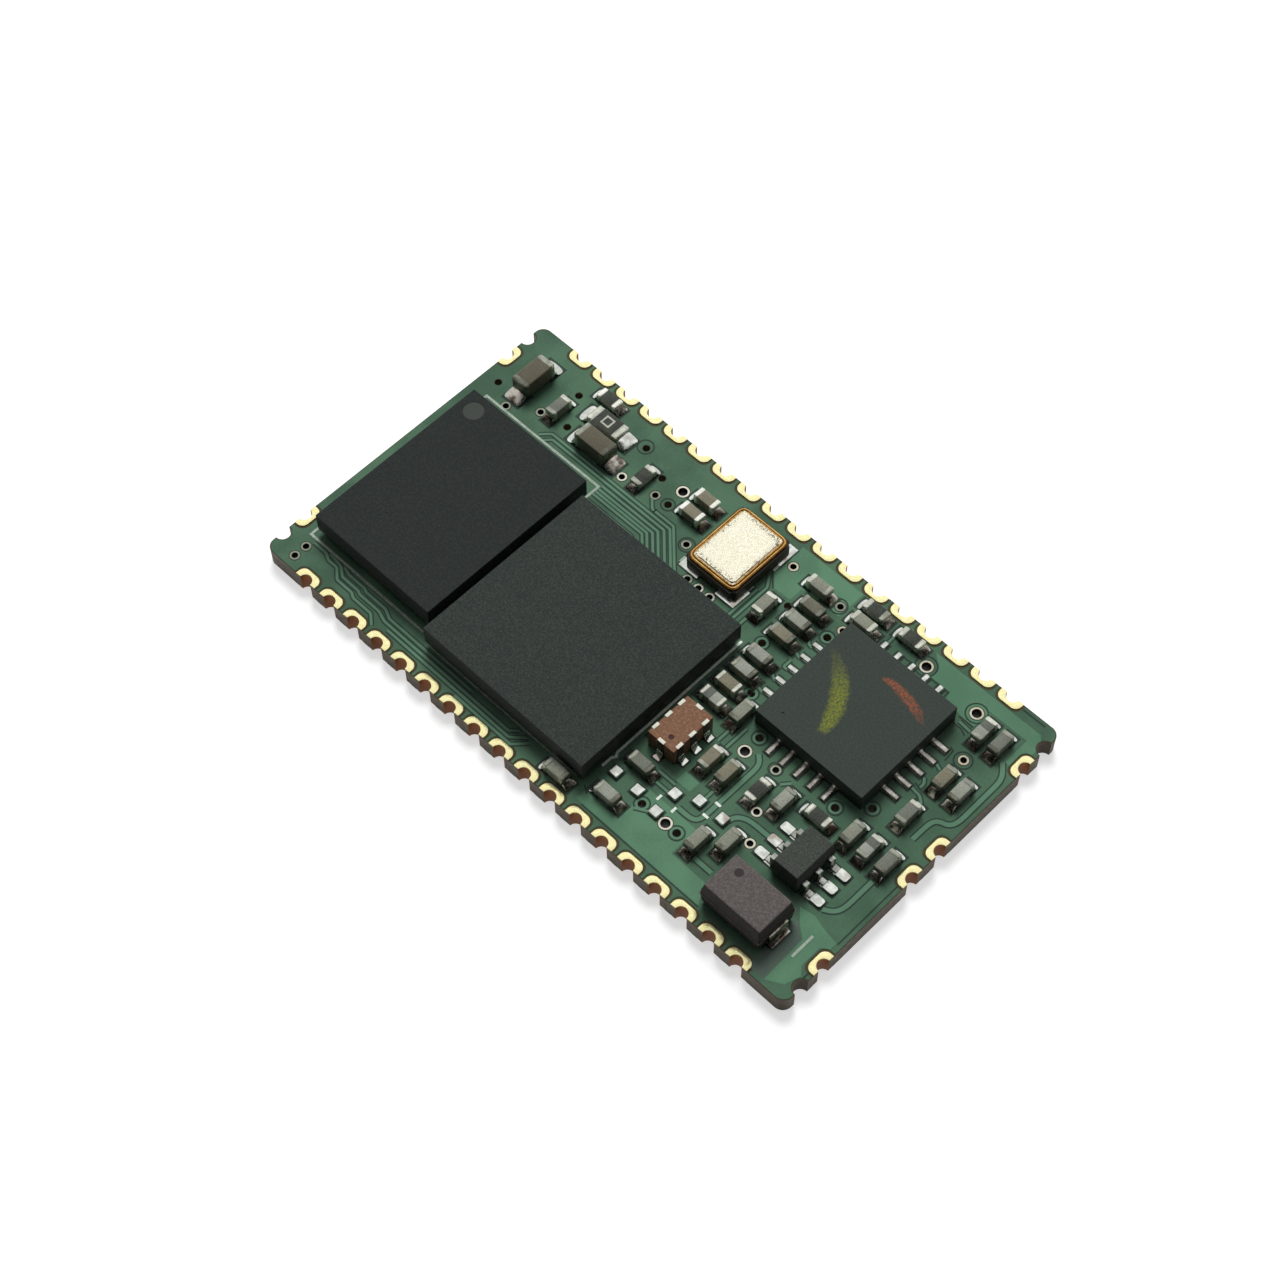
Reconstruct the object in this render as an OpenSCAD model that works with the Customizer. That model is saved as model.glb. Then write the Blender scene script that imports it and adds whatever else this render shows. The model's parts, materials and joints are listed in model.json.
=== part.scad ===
// Surface-mount wireless radio module: a drilled circuit board with half-hole
// edge contacts, three large chips and their small parts. Millimetres, +Z up,
// origin at the middle of the board's underside. The memory chip is at the -X
// end, the antenna contacts are at the +X end.

/* [Circuit board] */
// Thickness of the circuit board
board_t = 0.8; // [0.6:0.1:1.6]
// Radius of the board's four corners
corner_r = 0.4; // [0.1:0.05:0.6]
// Diameter of the unplated half-round notches on the short ends
notch_d = 0.64; // [0.4:0.02:0.8]
// Distance of a notch from the long edge
notch_inset = 0.85; // [0.7:0.05:1]

/* [Edge contacts] */
// Distance between neighbouring contacts of a long row
contact_pitch = 1.27; // [1.2:0.01:1.6]
// Width of a contact along the edge
contact_w = 1; // [0.8:0.05:1.1]
// Depth of a contact from the edge inwards
contact_d = 0.42; // [0.36:0.02:0.5]
// Radius of a contact's two inner corners
contact_r = 0.28; // [0.1:0.02:0.34]
// Drilled diameter of the half hole in a contact
half_hole_d = 0.6; // [0.4:0.02:0.66]
// Thickness of the plating on a contact
plate_t = 0.04; // [0.02:0.01:0.08]
// Least distance from the middle of a row's last contact to the short end
row_inset = 2; // [1.8:0.05:2.4]
// Distance of the outer end contacts from the long edge
end_contact_inset = 1.95; // [1.85:0.05:2.3]
// Distance between the middle pair of antenna contacts
feed_pitch = 1.46; // [1.3:0.02:2]

/* [Vias] */
// Drilled diameter of a large via
large_via_d = 0.4; // [0.28:0.02:0.44]
// Drilled diameter of a small via
small_via_d = 0.28; // [0.2:0.02:0.3]
// Width of the bare ring around a via
via_ring_w = 0.06; // [0.04:0.01:0.08]
// Thickness of the plating in a via
via_plate_t = 0.02; // [0.02:0.01:0.04]

/* [Memory chip] */
// Width of the memory chip along the board
memory_w = 6; // [5:0.1:8]
// Depth of the memory chip across the board
memory_d = 8; // [6:0.1:10]
// Clear board between the memory chip and the short end
memory_end_gap = 1; // [0.9:0.05:2]
// Clear board between the memory chip and the front edge
memory_front_gap = 1.75; // [1.2:0.05:2.5]
// Clear board between the memory chip and the chips behind it
memory_rear_gap = 1.35; // [1.2:0.05:2]
// Distance between the memory chip's balls
memory_pitch = 0.8; // [0.65:0.05:1]

/* [Baseband chip] */
// Width of the baseband chip along the board
baseband_w = 8; // [6:0.1:10]
// Depth of the baseband chip across the board
baseband_d = 8; // [6:0.1:10]
// Clear board between the memory chip and the baseband chip
baseband_gap = 0.35; // [0.2:0.05:1]
// Distance between the baseband chip's balls
baseband_pitch = 0.65; // [0.5:0.05:0.8]

/* [Ball-grid packages] */
// Diameter of a solder ball
ball_d = 0.4; // [0.36:0.02:0.46]
// Standing height of a solder ball
ball_h = 0.3; // [0.2:0.02:0.34]
// Least distance from a ball's middle to the package edge
ball_inset = 0.9; // [0.5:0.05:1.2]
// Thickness of the package substrate
substrate_t = 0.25; // [0.15:0.05:0.4]
// Thickness of the moulded case
mould_t = 0.65; // [0.4:0.05:1]

/* [Front-end chip] */
// Width of the front-end chip along the board
radio_w = 5; // [4.4:0.1:7]
// Depth of the front-end chip across the board
radio_d = 5; // [4.4:0.1:7]
// Height of the front-end case
radio_h = 0.85; // [0.6:0.05:1.2]
// Distance between the front-end terminals
radio_pitch = 0.65; // [0.5:0.05:0.7]
// Number of terminals on each side of the front-end chip
radio_pins = 5; // [3:1:5]
// Width of a terminal
radio_pin_w = 0.28; // [0.2:0.02:0.36]
// Length of a terminal under the case
radio_pin_l = 0.4; // [0.3:0.05:0.5]
// Thickness of a terminal and of the paddle
radio_pin_t = 0.2; // [0.1:0.05:0.3]
// Side of the square paddle under the case
paddle_w = 3.1; // [2.4:0.1:3.2]
// Length of the solder bar in front of a terminal
radio_toe = 0.65; // [0.4:0.05:0.7]
// Height of the solder bar in front of a terminal
radio_toe_h = 0.13; // [0.08:0.01:0.14]

/* [Crystal] */
// Width of the crystal along the board
crystal_w = 2.5; // [2:0.1:3]
// Depth of the crystal across the board
crystal_d = 3.2; // [2.5:0.1:4]
// Height of the ceramic base
crystal_base_h = 0.5; // [0.3:0.05:0.8]
// Thickness of the seal ring
seal_t = 0.12; // [0.08:0.02:0.2]
// Thickness of the lid
lid_t = 0.1; // [0.06:0.02:0.16]
// Width of ceramic left bare around the seal ring
seal_inset = 0.08; // [0.04:0.02:0.14]
// Width of seal ring left bare around the lid
lid_inset = 0.12; // [0.06:0.02:0.18]
// Radius of the seal ring's and the lid's corners
lid_r = 0.3; // [0.2:0.02:0.4]
// Width of the seal ring's frame
seal_w = 0.35; // [0.25:0.05:0.5]
// Radius of the hollows at the corners of the base
crystal_corner_r = 0.18; // [0.1:0.02:0.24]
// Side of a crystal's corner land
crystal_land = 0.8; // [0.6:0.05:0.95]
// Clear board between the baseband chip and the crystal
crystal_gap = 0.95; // [0.9:0.05:1.6]
// Clear board between the crystal and the rear contacts
crystal_rear_gap = 0.53; // [0.3:0.01:1]

/* [Band filter] */
// Width of the filter along the board
filter_w = 1.25; // [1:0.05:1.5]
// Depth of the filter across the board
filter_d = 2; // [1.7:0.05:2.2]
// Height of the filter
filter_h = 0.9; // [0.6:0.05:1.2]
// Width of a wrapped filter terminal
band_w = 0.3; // [0.2:0.02:0.36]
// How far a wrapped terminal reaches over the top
band_l = 0.12; // [0.1:0.01:0.2]
// Distance between the filter terminals
band_pitch = 0.65; // [0.45:0.05:0.65]

/* [Regulator] */
// Width of the regulator case along the board
regulator_w = 1.25; // [1.1:0.05:1.4]
// Depth of the regulator case across the board
regulator_d = 2; // [1.8:0.05:2.4]
// Height of the regulator case
regulator_h = 0.95; // [0.7:0.05:1.2]
// Distance between the regulator leads
regulator_pitch = 0.65; // [0.5:0.05:0.7]
// Width of a regulator lead
regulator_lead_w = 0.24; // [0.16:0.02:0.3]
// Span over the regulator's lead tips
regulator_span = 2.1; // [1.9:0.05:2.3]
// Length of the solder in front of a lead tip
regulator_toe = 0.48; // [0.2:0.02:0.5]

/* [Moulded capacitor] */
// Width of the moulded case along the board
bulk_w = 2.75; // [2.4:0.05:3.2]
// Depth of the moulded case across the board
bulk_d = 1.8; // [1.5:0.05:2.2]
// Height of the moulded case
bulk_h = 1.2; // [0.9:0.05:1.6]
// Width of a folded lead
bulk_lead_w = 0.9; // [0.6:0.05:1.4]
// Length of a folded lead under the case
bulk_lead_l = 0.7; // [0.5:0.05:1]
// Length of the solder in front of a folded lead
bulk_toe = 0.12; // [0.08:0.02:0.24]
// Thickness of the leads of the moulded pieces
lead_t = 0.1; // [0.06:0.02:0.14]
// Draft of the moulded cases from the parting line to the top
draft = 0.1; // [0.04:0.02:0.14]

/* [Small chips] */
// Length of a small chip
chip_l = 1; // [0.9:0.02:1.1]
// Width of a small chip
chip_w = 0.5; // [0.4:0.02:0.56]
// Height of a small capacitor
chip_h = 0.5; // [0.35:0.01:0.6]
// Height of a small resistor
resistor_h = 0.35; // [0.3:0.01:0.5]
// Length of a small chip's metal end
chip_end_l = 0.22; // [0.15:0.01:0.3]
// Length of a large chip
large_l = 1.6; // [1.5:0.05:1.7]
// Width of a large chip
large_w = 0.8; // [0.7:0.05:0.9]
// Height of a large capacitor
large_h = 0.8; // [0.5:0.05:0.9]
// Height of a large resistor
large_resistor_h = 0.45; // [0.4:0.05:0.6]
// Length of a large chip's metal end
large_end_l = 0.3; // [0.2:0.05:0.4]
// Thickness of a metal end
end_t = 0.02; // [0.01:0.01:0.04]
// Thickness of a resistor's black coat
coat_t = 0.02; // [0.01:0.01:0.04]

/* [Spacing] */
// Clear board between a chip and the rear or front contacts
edge_gap = 0.18; // [0.12:0.02:0.4]
// Clear board between chips that lie side by side in a row
row_gap = 0.3; // [0.2:0.05:0.5]
// Clear board between chips that lie close together
close_gap = 0.25; // [0.2:0.05:0.4]
// Clear board around the crystal and beside the radio column
column_gap = 0.65; // [0.6:0.05:1]
// Clear board between the rows of chips and the front-end solder
radio_gap = 0.4; // [0.36:0.02:0.8]
// Clear board between the baseband chip and the column of chips
baseband_side_gap = 0.5; // [0.45:0.05:0.8]

/* [Solder] */
// Thickness of solder under a part
solder_t = 0.03; // [0.02:0.01:0.06]
// Length of the solder in front of a small chip
toe = 0.25; // [0.15:0.01:0.27]
// Length of the solder in front of a large chip
large_toe = 0.46; // [0.3:0.02:0.5]
// Side of a spare land
spare_w = 0.42; // [0.3:0.02:0.44]
// Height of the solder on a spare land
spare_h = 0.14; // [0.08:0.02:0.16]

/* [Hidden] */
$fn = 32;

// Places are turned by quarter turns: a chip lies along X, or across the board
along = 0;
across = 90;

// Placement grid of the layout, in which the short offsets are counted
grid = 0.1;

// Board length, as the chain of what stands along it
corner_chip_gap = 0.13;
corner_chip_side = 0.22;
radio_side_gap = toe + corner_chip_gap + chip_w + corner_chip_side;
end_gap = 0.45;
end_margin = 0.7;
end_strip = radio_toe + end_gap + 2 * chip_w + close_gap + end_margin;
board_l = memory_end_gap + memory_w + baseband_gap + baseband_w + baseband_side_gap + chip_l
    + radio_side_gap + radio_w + end_strip;

// Board width, as the longest of three chains across it
bulk_front_gap = 0.33;
regulator_front_gap = 0.65;
front_chip_gap = 0.13;
baseband_front_gap = contact_d + front_chip_gap + chip_w + 1.5 * grid;
memory_chain = memory_front_gap + memory_d + memory_rear_gap + 2 * large_w + 2 * close_gap + chip_w
    + edge_gap + contact_d;
crystal_chain = baseband_front_gap + baseband_d + crystal_gap + crystal_d + crystal_rear_gap + contact_d;
radio_front_chain = contact_d + bulk_front_gap + bulk_d + regulator_front_gap + regulator_d
    + 2 * radio_gap + chip_w + radio_toe;
radio_rear_chain = radio_toe + radio_gap + chip_w + edge_gap + contact_d;
radio_chain = radio_front_chain + radio_d + radio_rear_chain;
board_w = max(memory_chain, crystal_chain, radio_chain);

// Board edges
left = -board_l / 2;
right = board_l / 2;
front = -board_w / 2;
rear = board_w / 2;

// Memory chip
memory_x0 = left + memory_end_gap;
memory_x1 = memory_x0 + memory_w;
memory_y1 = front + memory_front_gap + memory_d;
memory_mid = [memory_x0 + memory_w / 2, memory_y1 - memory_d / 2];

// Baseband chip
baseband_x1 = memory_x1 + baseband_gap + baseband_w;
baseband_y0 = front + baseband_front_gap;
baseband_y1 = baseband_y0 + baseband_d;
baseband_mid = [baseband_x1 - baseband_w / 2, baseband_y0 + baseband_d / 2];
package_h = ball_h + substrate_t + mould_t;

// Column of chips between the baseband chip and the front-end chip
row_pitch = chip_w + row_gap;
column_x = baseband_x1 + baseband_side_gap + chip_l / 2;

// Front-end chip
radio_x0 = column_x + chip_l / 2 + radio_side_gap;
radio_x1 = radio_x0 + radio_w;
radio_y0 = front + radio_front_chain;
radio_y1 = radio_y0 + radio_d;
radio_mid = [radio_x0 + radio_w / 2, radio_y0 + radio_d / 2];

// Chips at the antenna end
end_x1 = radio_x1 + radio_toe + end_gap + chip_w / 2;
end_x2 = end_x1 + chip_w + close_gap;

// Crystal and its load capacitors
crystal_x1 = column_x - chip_l / 2 - 2 * column_gap - chip_w;
crystal_x0 = crystal_x1 - crystal_w;
crystal_mid = [crystal_x1 - crystal_w / 2, baseband_y1 + crystal_gap + crystal_d / 2];

// Regulator and moulded capacitor
regulator_mid = [radio_x1, radio_y0 - radio_toe - 2 * radio_gap - chip_w - regulator_d / 2];
bulk_mid = [regulator_mid.x - 2 * grid, front + contact_d + bulk_front_gap + bulk_d / 2];
bulk_x0 = bulk_mid.x - bulk_w / 2 - lead_t;

// Column rows stand either side of a via in line with the front-end chip
column_up_y = radio_mid.y + 6.5 * grid;
column_down_y = radio_mid.y - 5.5 * grid;
column_up_rows = 3;
column_down_rows = 4;
column_foot_y = column_down_y - (column_down_rows - 1) * row_pitch;
column_top_x = column_x - 4.2 * grid;

// Band filter, below the column
filter_gap = 0.55;
filter_mid = [column_x + 1.5 * grid, column_foot_y - chip_w / 2 - filter_gap - filter_d / 2];
filter_x1 = filter_mid.x + filter_w / 2;
filter_y0 = filter_mid.y - filter_d / 2;
band_t = end_t;

// Supply chips between the filter and the regulator, two of them either side of a via
small_ring_d = small_via_d + 2 * via_ring_w;
ring_gap = 0.02;
supply_x1 = filter_x1 + 6 * grid + chip_w / 2;
supply_x2 = supply_x1 + row_pitch;
supply_x3 = supply_x2 + chip_w + 7 * grid;
supply_x4 = supply_x3 + chip_w + small_ring_d + 2 * ring_gap;
supply_y = radio_y0 - radio_toe - 6.2 * grid - chip_l;
regulator_chip_x = supply_x4 + chip_w / 2 + close_gap + toe + chip_l / 2;
bulk_chip_x = bulk_x0 - 4 * grid - chip_w / 2;
bulk_chip_y = bulk_mid.y + 13.3 * grid;
foot_chip_y1 = filter_y0 - 6 * grid - chip_w / 2;
foot_chip_y2 = foot_chip_y1 - chip_w - 11.5 * grid;
spare_row_y = (foot_chip_y1 + foot_chip_y2) / 2 + 0.8 * grid;

// Memory chips, from the memory chip's rear edge towards the board's rear edge
memory_row1_y = memory_y1 + memory_rear_gap + large_w / 2;
memory_row2_y = memory_row1_y + large_w + close_gap;
memory_row3_y = memory_row2_y + large_w / 2 + close_gap + chip_w / 2;
memory_chip_y0 = memory_y1 + memory_rear_gap + 2 * grid;
memory_chip_x1 = memory_x0 + 3.5 * grid + large_w / 2;
memory_chip_x2 = memory_chip_x1 + large_w / 2 + 10 * grid + chip_w / 2;
memory_row_x = memory_chip_x2 + chip_w / 2 + 12.5 * grid + large_l / 2;
memory_chip_x3 = memory_row_x + large_l / 2 + 11.5 * grid + chip_w / 2;

// Places of the small chips: middle and turn
memory_large_capacitors = [
    [memory_chip_x1, memory_chip_y0 + large_l / 2, across],
    [memory_row_x, memory_row1_y, along]
];
memory_small_capacitors = [[memory_chip_x2, memory_chip_y0 + chip_l / 2, across]];
memory_large_resistors = [[memory_row_x - 4 * grid, memory_row2_y, along]];
memory_small_resistors = [
    [memory_row_x - 12 * grid, memory_row3_y, along],
    [memory_chip_x3, memory_chip_y0 + chip_l / 2, across]
];
crystal_capacitors = [
    for (row = [0, 1])
        [crystal_x0 - column_gap - chip_l / 2, crystal_mid.y + 0.8 * grid + row * row_pitch, along],
    [crystal_x1 + column_gap + chip_w / 2 + 0.5 * grid, crystal_mid.y - 9.5 * grid, across]
];
column_capacitors = [
    for (row = [0:column_up_rows - 1]) [column_x, column_up_y + row * row_pitch, along],
    for (row = [0:column_down_rows - 2]) [column_x, column_down_y - row * row_pitch, along],
    [column_top_x, column_up_y + column_up_rows * row_pitch + 0.5 * grid, along],
    [radio_x0 + 1.5 * grid, radio_y1 + radio_toe + radio_gap - close_gap - chip_w / 2, along],
    [radio_x0 - corner_chip_side - chip_w / 2, radio_y0 - 1.7 * grid, across]
];
column_inductors = [[column_x, column_foot_y, along]];
column_resistors = [
    for (x = [grid, 8 * grid + chip_l]) [radio_x0 + x, radio_y1 + radio_toe + radio_gap + chip_w / 2, along]
];
antenna_mid_y = radio_mid.y + 3 * grid;
antenna_rear_y = antenna_mid_y + chip_l + 14 * grid;
antenna_low_y = antenna_mid_y - chip_l - 9 * grid;
antenna_front_y = antenna_low_y - chip_l - 9 * grid;
antenna_capacitors = [
    [end_x2 - close_gap, antenna_rear_y, across],
    [end_x1, antenna_mid_y, across],
    [end_x2, antenna_mid_y, across],
    [end_x1, antenna_low_y, across],
    [end_x2 - 2 * row_pitch, antenna_front_y, across],
    [end_x2, antenna_front_y, across]
];
antenna_inductors = [
    [end_x1 - close_gap, antenna_rear_y, across],
    [end_x2 - row_pitch, antenna_front_y, across]
];
supply_capacitors = [
    [supply_x1, supply_y, across],
    [supply_x2, supply_y, across],
    [supply_x4, supply_y + 5.5 * grid, across],
    [column_x + 0.5 * grid, foot_chip_y1, along],
    [column_x + 0.5 * grid, foot_chip_y2, along],
    [baseband_x1 - 3.5 * grid - chip_l / 2, front + contact_d + front_chip_gap + chip_w / 2, along],
    [bulk_chip_x, bulk_chip_y, across],
    [bulk_chip_x - row_pitch, bulk_chip_y - 7 * grid, across]
];
supply_resistors = [
    [supply_x3, supply_y + 2.7 * grid, across],
    [regulator_chip_x, radio_y0 - radio_toe - radio_gap - chip_w / 2, along]
];
spare_places = [
    [column_x - 4.5 * grid, spare_row_y],
    [column_x + 6 * grid, spare_row_y],
    [supply_x1, foot_chip_y1 + 0.5 * grid],
    [supply_x1, foot_chip_y1 - 9 * grid],
    [supply_x2, foot_chip_y1 + 4.5 * grid],
    [bulk_chip_x - row_pitch, bulk_chip_y + 5.7 * grid]
];

// Places of the vias, each from the piece that it stands beside
large_vias = [
    [crystal_x0 - column_gap - chip_l - toe - 3.2 * grid, crystal_mid.y + 7 * grid],
    [radio_x1 + 3.8 * grid, radio_y1 + 7.2 * grid],
    [supply_x2 - 2.5 * grid, supply_y + chip_l / 2 + toe + 4.2 * grid],
    [supply_x1 + spare_w / 2 + 3.2 * grid, foot_chip_y1 - 9.7 * grid],
    [column_resistors[1].x + chip_l / 2 + toe + 3 * grid, radio_y1 + radio_toe + 2.8 * grid]
];
small_vias = [
    [memory_chip_x1, memory_chip_y0 - large_toe - 2.4 * grid],
    [memory_chip_x2 - chip_w / 2 - 2.4 * grid, memory_chip_y0 + 0.2 * grid],
    [memory_chip_x3 - chip_w / 2 - 4.3 * grid, memory_chip_y0 + 0.5 * grid],
    [memory_chip_x3 + 8 * grid, memory_chip_y0 + 3.2 * grid],
    [crystal_x0 - 5 * grid, crystal_mid.y - 9 * grid],
    for (i = [-1:1]) [crystal_mid.x - 1.2 * grid + i * 5.6 * grid, baseband_y1 + crystal_gap - 3.6 * grid],
    [crystal_x1 + 4.7 * grid, crystal_mid.y + 11.3 * grid],
    [column_top_x + chip_l / 2 + toe + 2.3 * grid, column_up_y + column_up_rows * row_pitch + grid],
    [radio_x0 - 2.8 * grid, radio_y1 - 0.5 * grid],
    [end_x1 - 0.8 * grid, antenna_mid_y + chip_l / 2 + toe + 4.2 * grid],
    [memory_x0 + grid, front + 10.3 * grid],
    [memory_x0 + grid, front + 4.8 * grid],
    [supply_x3 - 1.7 * grid, radio_y0 - radio_toe - 2.4 * grid],
    [(supply_x3 + supply_x4) / 2, supply_y - 2.8 * grid],
    [bulk_chip_x + chip_w / 2 + 2.4 * grid, bulk_chip_y + 5.7 * grid]
];
covered_vias = [
    [memory_x0 - 2.7 * grid, memory_y1 + 14.3 * grid],
    [memory_chip_x2, memory_chip_y0 + chip_l + toe + 3.3 * grid],
    [memory_chip_x2 + chip_w / 2 + 4.8 * grid, memory_row1_y + 0.3 * grid],
    [memory_row_x + large_l / 2 + large_toe, memory_row2_y + 3.7 * grid],
    [memory_chip_x3 + chip_w / 2 + 2 * grid, memory_chip_y0 + chip_l + 0.5 * grid],
    [crystal_x0 - column_gap - chip_l - toe - 3.2 * grid, crystal_mid.y - grid],
    [column_x - chip_l / 2 - 3.2 * grid, column_up_y + 1.5 * row_pitch],
    [radio_x0 - 5 * grid, radio_mid.y + 18.5 * grid],
    [column_x - 4.2 * grid, (column_up_y + column_down_y) / 2],
    [column_x + chip_l / 2 + 2.3 * grid, column_down_y - 1.5 * row_pitch],
    [column_x + 10.5 * grid, spare_row_y - 2.5 * grid],
    [supply_x2 + 2.7 * grid, foot_chip_y1 - 9.7 * grid],
    [radio_x0 + 5.8 * grid, radio_y0 - 3.6 * grid],
    [regulator_mid.x - 6.7 * grid, radio_y0 - 5.5 * grid],
    [radio_x1 + 2.7 * grid, radio_y0 + 3.3 * grid]
];

// Places of the edge contacts: middle on the edge, and the turn that faces outwards
row_count = floor((board_l - 2 * row_inset) / contact_pitch) + 1;
row_xs = [for (i = [0:row_count - 1]) (i - (row_count - 1) / 2) * contact_pitch];
end_y = board_w / 2 - end_contact_inset;
front_places = [for (x = row_xs) [x, front, 180]];
rear_places = [for (x = row_xs) [x, rear, 0]];
antenna_places = [for (y = [-end_y, -feed_pitch / 2, feed_pitch / 2, end_y]) [right, y, -90]];
memory_end_places = [for (y = [-end_y, end_y]) [left, y, 90]];
drill_r = half_hole_d / 2;
hole_r = drill_r - plate_t;

// Front-end terminals: middle on the case's edge, and the turn that faces outwards
function radio_row(reach) = [for (i = [0:radio_pins - 1]) [(i - (radio_pins - 1) / 2) * radio_pitch, reach]];
radio_sides = [[0, radio_d / 2], [90, radio_w / 2], [180, radio_d / 2], [270, radio_w / 2]];

// Regulator leads stand out at the case's parting line
parting = 0.5;
regulator_lead_z = regulator_h * parting;
regulator_ys = [for (i = [-1:1]) i * regulator_pitch];
regulator_land_w = 1.5 * regulator_lead_w;
knee = 0.2;

// Puts a piece on the board's top, at a place and a turn
module seat(place) {
    translate([place.x, place.y, board_t]) rotate(is_undef(place.z) ? 0 : place.z) children();
}

// Rectangle with round corners, about its middle
module round_rect(w, d, r) {
    square([w - 2 * r, d], center = true);
    square([w, d - 2 * r], center = true);
    for (x = [-1, 1], y = [-1, 1])
        translate([x * (w / 2 - r), y * (d / 2 - r)]) circle(r);
}

// Block that stands on the board, from its underside
module block(w, d, z0, z1) {
    translate([-w / 2, -d / 2, z0]) cube([w, d, z1 - z0]);
}

// Moulded case with draft above and below its parting line
module moulded(w, d, h) {
    function side(s) = [
        [-s / 2 + draft / 2, 0], [s / 2 - draft / 2, 0], [s / 2, h * parting],
        [s / 2 - draft, h], [-s / 2 + draft, h], [-s / 2, h * parting]
    ];
    intersection() {
        rotate([90, 0, 0]) linear_extrude(d, center = true) polygon(side(w));
        rotate([90, 0, 90]) linear_extrude(w, center = true) polygon(side(d));
    }
}

// Core of a chip, inside its two metal ends
module chip_core(l, w, h) {
    block(l - 2 * end_t, w - 2 * end_t, solder_t + end_t, solder_t + h - end_t);
}

module chip_bodies(places, l, w, h) {
    for (place = places)
        seat(place) chip_core(l, w, h);
}

module chip_ends(places, l, w, h, end_l) {
    for (place = places, side = [-1, 1])
        seat(place) difference() {
            translate([side * (l - end_l) / 2, 0, 0]) block(end_l, w, solder_t, solder_t + h);
            chip_core(l, w, h);
        }
}

// Black coat on a resistor, between its ends
module chip_coats(places, l, w, h, end_l) {
    for (place = places)
        seat(place) block(l - 2 * end_l, w - 2 * end_t, solder_t + h - end_t, solder_t + h - end_t + coat_t);
}

// Solder of one chip end: a thin layer under the end and a hollow fillet in front of it
module fillet_side(under, reach) {
    translate([-under, 0]) square([under + reach, solder_t]);
    difference() {
        square([reach, solder_t + reach]);
        translate([reach, solder_t + reach]) circle(reach - solder_t / 2);
    }
}

module chip_solder(places, l, w, end_l, reach) {
    for (place = places, side = [0, 180])
        seat(place) rotate(side) translate([l / 2, w / 2, 0])
            rotate([90, 0, 0]) linear_extrude(w) fillet_side(end_l, reach);
}

module small_bodies(places, h) { chip_bodies(places, chip_l, chip_w, h); }
module small_ends(places, h) { chip_ends(places, chip_l, chip_w, h, chip_end_l); }
module small_coats(places) { chip_coats(places, chip_l, chip_w, resistor_h, chip_end_l); }
module small_solder(places) { chip_solder(places, chip_l, chip_w, chip_end_l, toe); }
module large_bodies(places, h) { chip_bodies(places, large_l, large_w, h); }
module large_ends(places, h) { chip_ends(places, large_l, large_w, h, large_end_l); }

// Outline of a contact, with the board's edge on the X axis and the board below it
module contact_outline() {
    intersection() {
        translate([-contact_w / 2, -contact_d]) square([contact_w, contact_d]);
        union() {
            translate([-contact_w / 2, contact_r - contact_d]) square([contact_w, contact_d]);
            translate([contact_r - contact_w / 2, -contact_d]) square([contact_w - 2 * contact_r, contact_d]);
            for (side = [-1, 1])
                translate([side * (contact_w / 2 - contact_r), contact_r - contact_d]) circle(contact_r);
        }
    }
}

module contact_land() {
    difference() {
        contact_outline();
        circle(hole_r);
    }
}

module contact_wall() {
    difference() {
        circle(drill_r);
        circle(hole_r);
        translate([-half_hole_d, 0]) square(2 * half_hole_d);
    }
}

module contacts(places) {
    color("gold")
        for (place = places)
            translate([place.x, place.y, 0]) rotate(place.z) {
                linear_extrude(plate_t) contact_land();
                linear_extrude(board_t) contact_wall();
                translate([0, 0, board_t]) linear_extrude(plate_t) contact_land();
            }
}

module circuit_board() {
    edge_places = concat(front_places, rear_places, antenna_places, memory_end_places);
    color("seagreen") difference() {
        linear_extrude(board_t) difference() {
            round_rect(board_l, board_w, corner_r);
            for (place = edge_places)
                translate([place.x, place.y]) circle(drill_r);
            for (x = [left, right], y = [-1, 1])
                translate([x, y * (board_w / 2 - notch_inset)]) circle(notch_d / 2);
            for (place = large_vias)
                translate(place) circle(large_via_d / 2);
            for (place = concat(small_vias, covered_vias))
                translate(place) circle(small_via_d / 2);
        }
        for (place = edge_places)
            translate([place.x, place.y, -plate_t]) rotate(place.z)
                linear_extrude(2 * plate_t) contact_outline();
    }
}

module via(d) {
    difference() {
        union() {
            cylinder(d = d, h = board_t);
            translate([0, 0, board_t]) cylinder(d = d + 2 * via_ring_w, h = via_plate_t);
        }
        translate([0, 0, -board_t]) cylinder(d = d - 2 * via_plate_t, h = 3 * board_t);
    }
}

module plated_vias() {
    color("wheat") {
        for (place = large_vias)
            translate(place) via(large_via_d);
        for (place = small_vias)
            translate(place) via(small_via_d);
    }
}

module front_contacts() { contacts(front_places); }
module rear_contacts() { contacts(rear_places); }
module antenna_contacts() { contacts(antenna_places); }
module memory_end_contacts() { contacts(memory_end_places); }

// Ball cut flat where it meets the board and the substrate
module ball() {
    translate([0, 0, ball_h / 2]) intersection() {
        sphere(d = ball_d);
        cube([ball_d, ball_d, ball_h], center = true);
    }
}

slack = 0.001;
function ball_count(side, pitch) = floor((side - 2 * ball_inset) / pitch + slack) + 1;

// Grid of balls, with the middle four left out where hollow is set
module ball_grid(mid, w, d, pitch, hollow) {
    columns = ball_count(w, pitch);
    rows = ball_count(d, pitch);
    color("silver") seat(mid)
        for (i = [0:columns - 1], j = [0:rows - 1]) {
            x = i - (columns - 1) / 2;
            y = j - (rows - 1) / 2;
            if (!hollow || max(abs(x), abs(y)) > 1)
                translate([x * pitch, y * pitch, 0]) ball();
        }
}

module memory_balls() { ball_grid(memory_mid, memory_w, memory_d, memory_pitch, false); }
module memory_substrate() {
    color("darkolivegreen") seat(memory_mid) block(memory_w, memory_d, ball_h, ball_h + substrate_t);
}
module memory_case() {
    color("dimgray") seat(memory_mid) block(memory_w, memory_d, ball_h + substrate_t, package_h);
}

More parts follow.
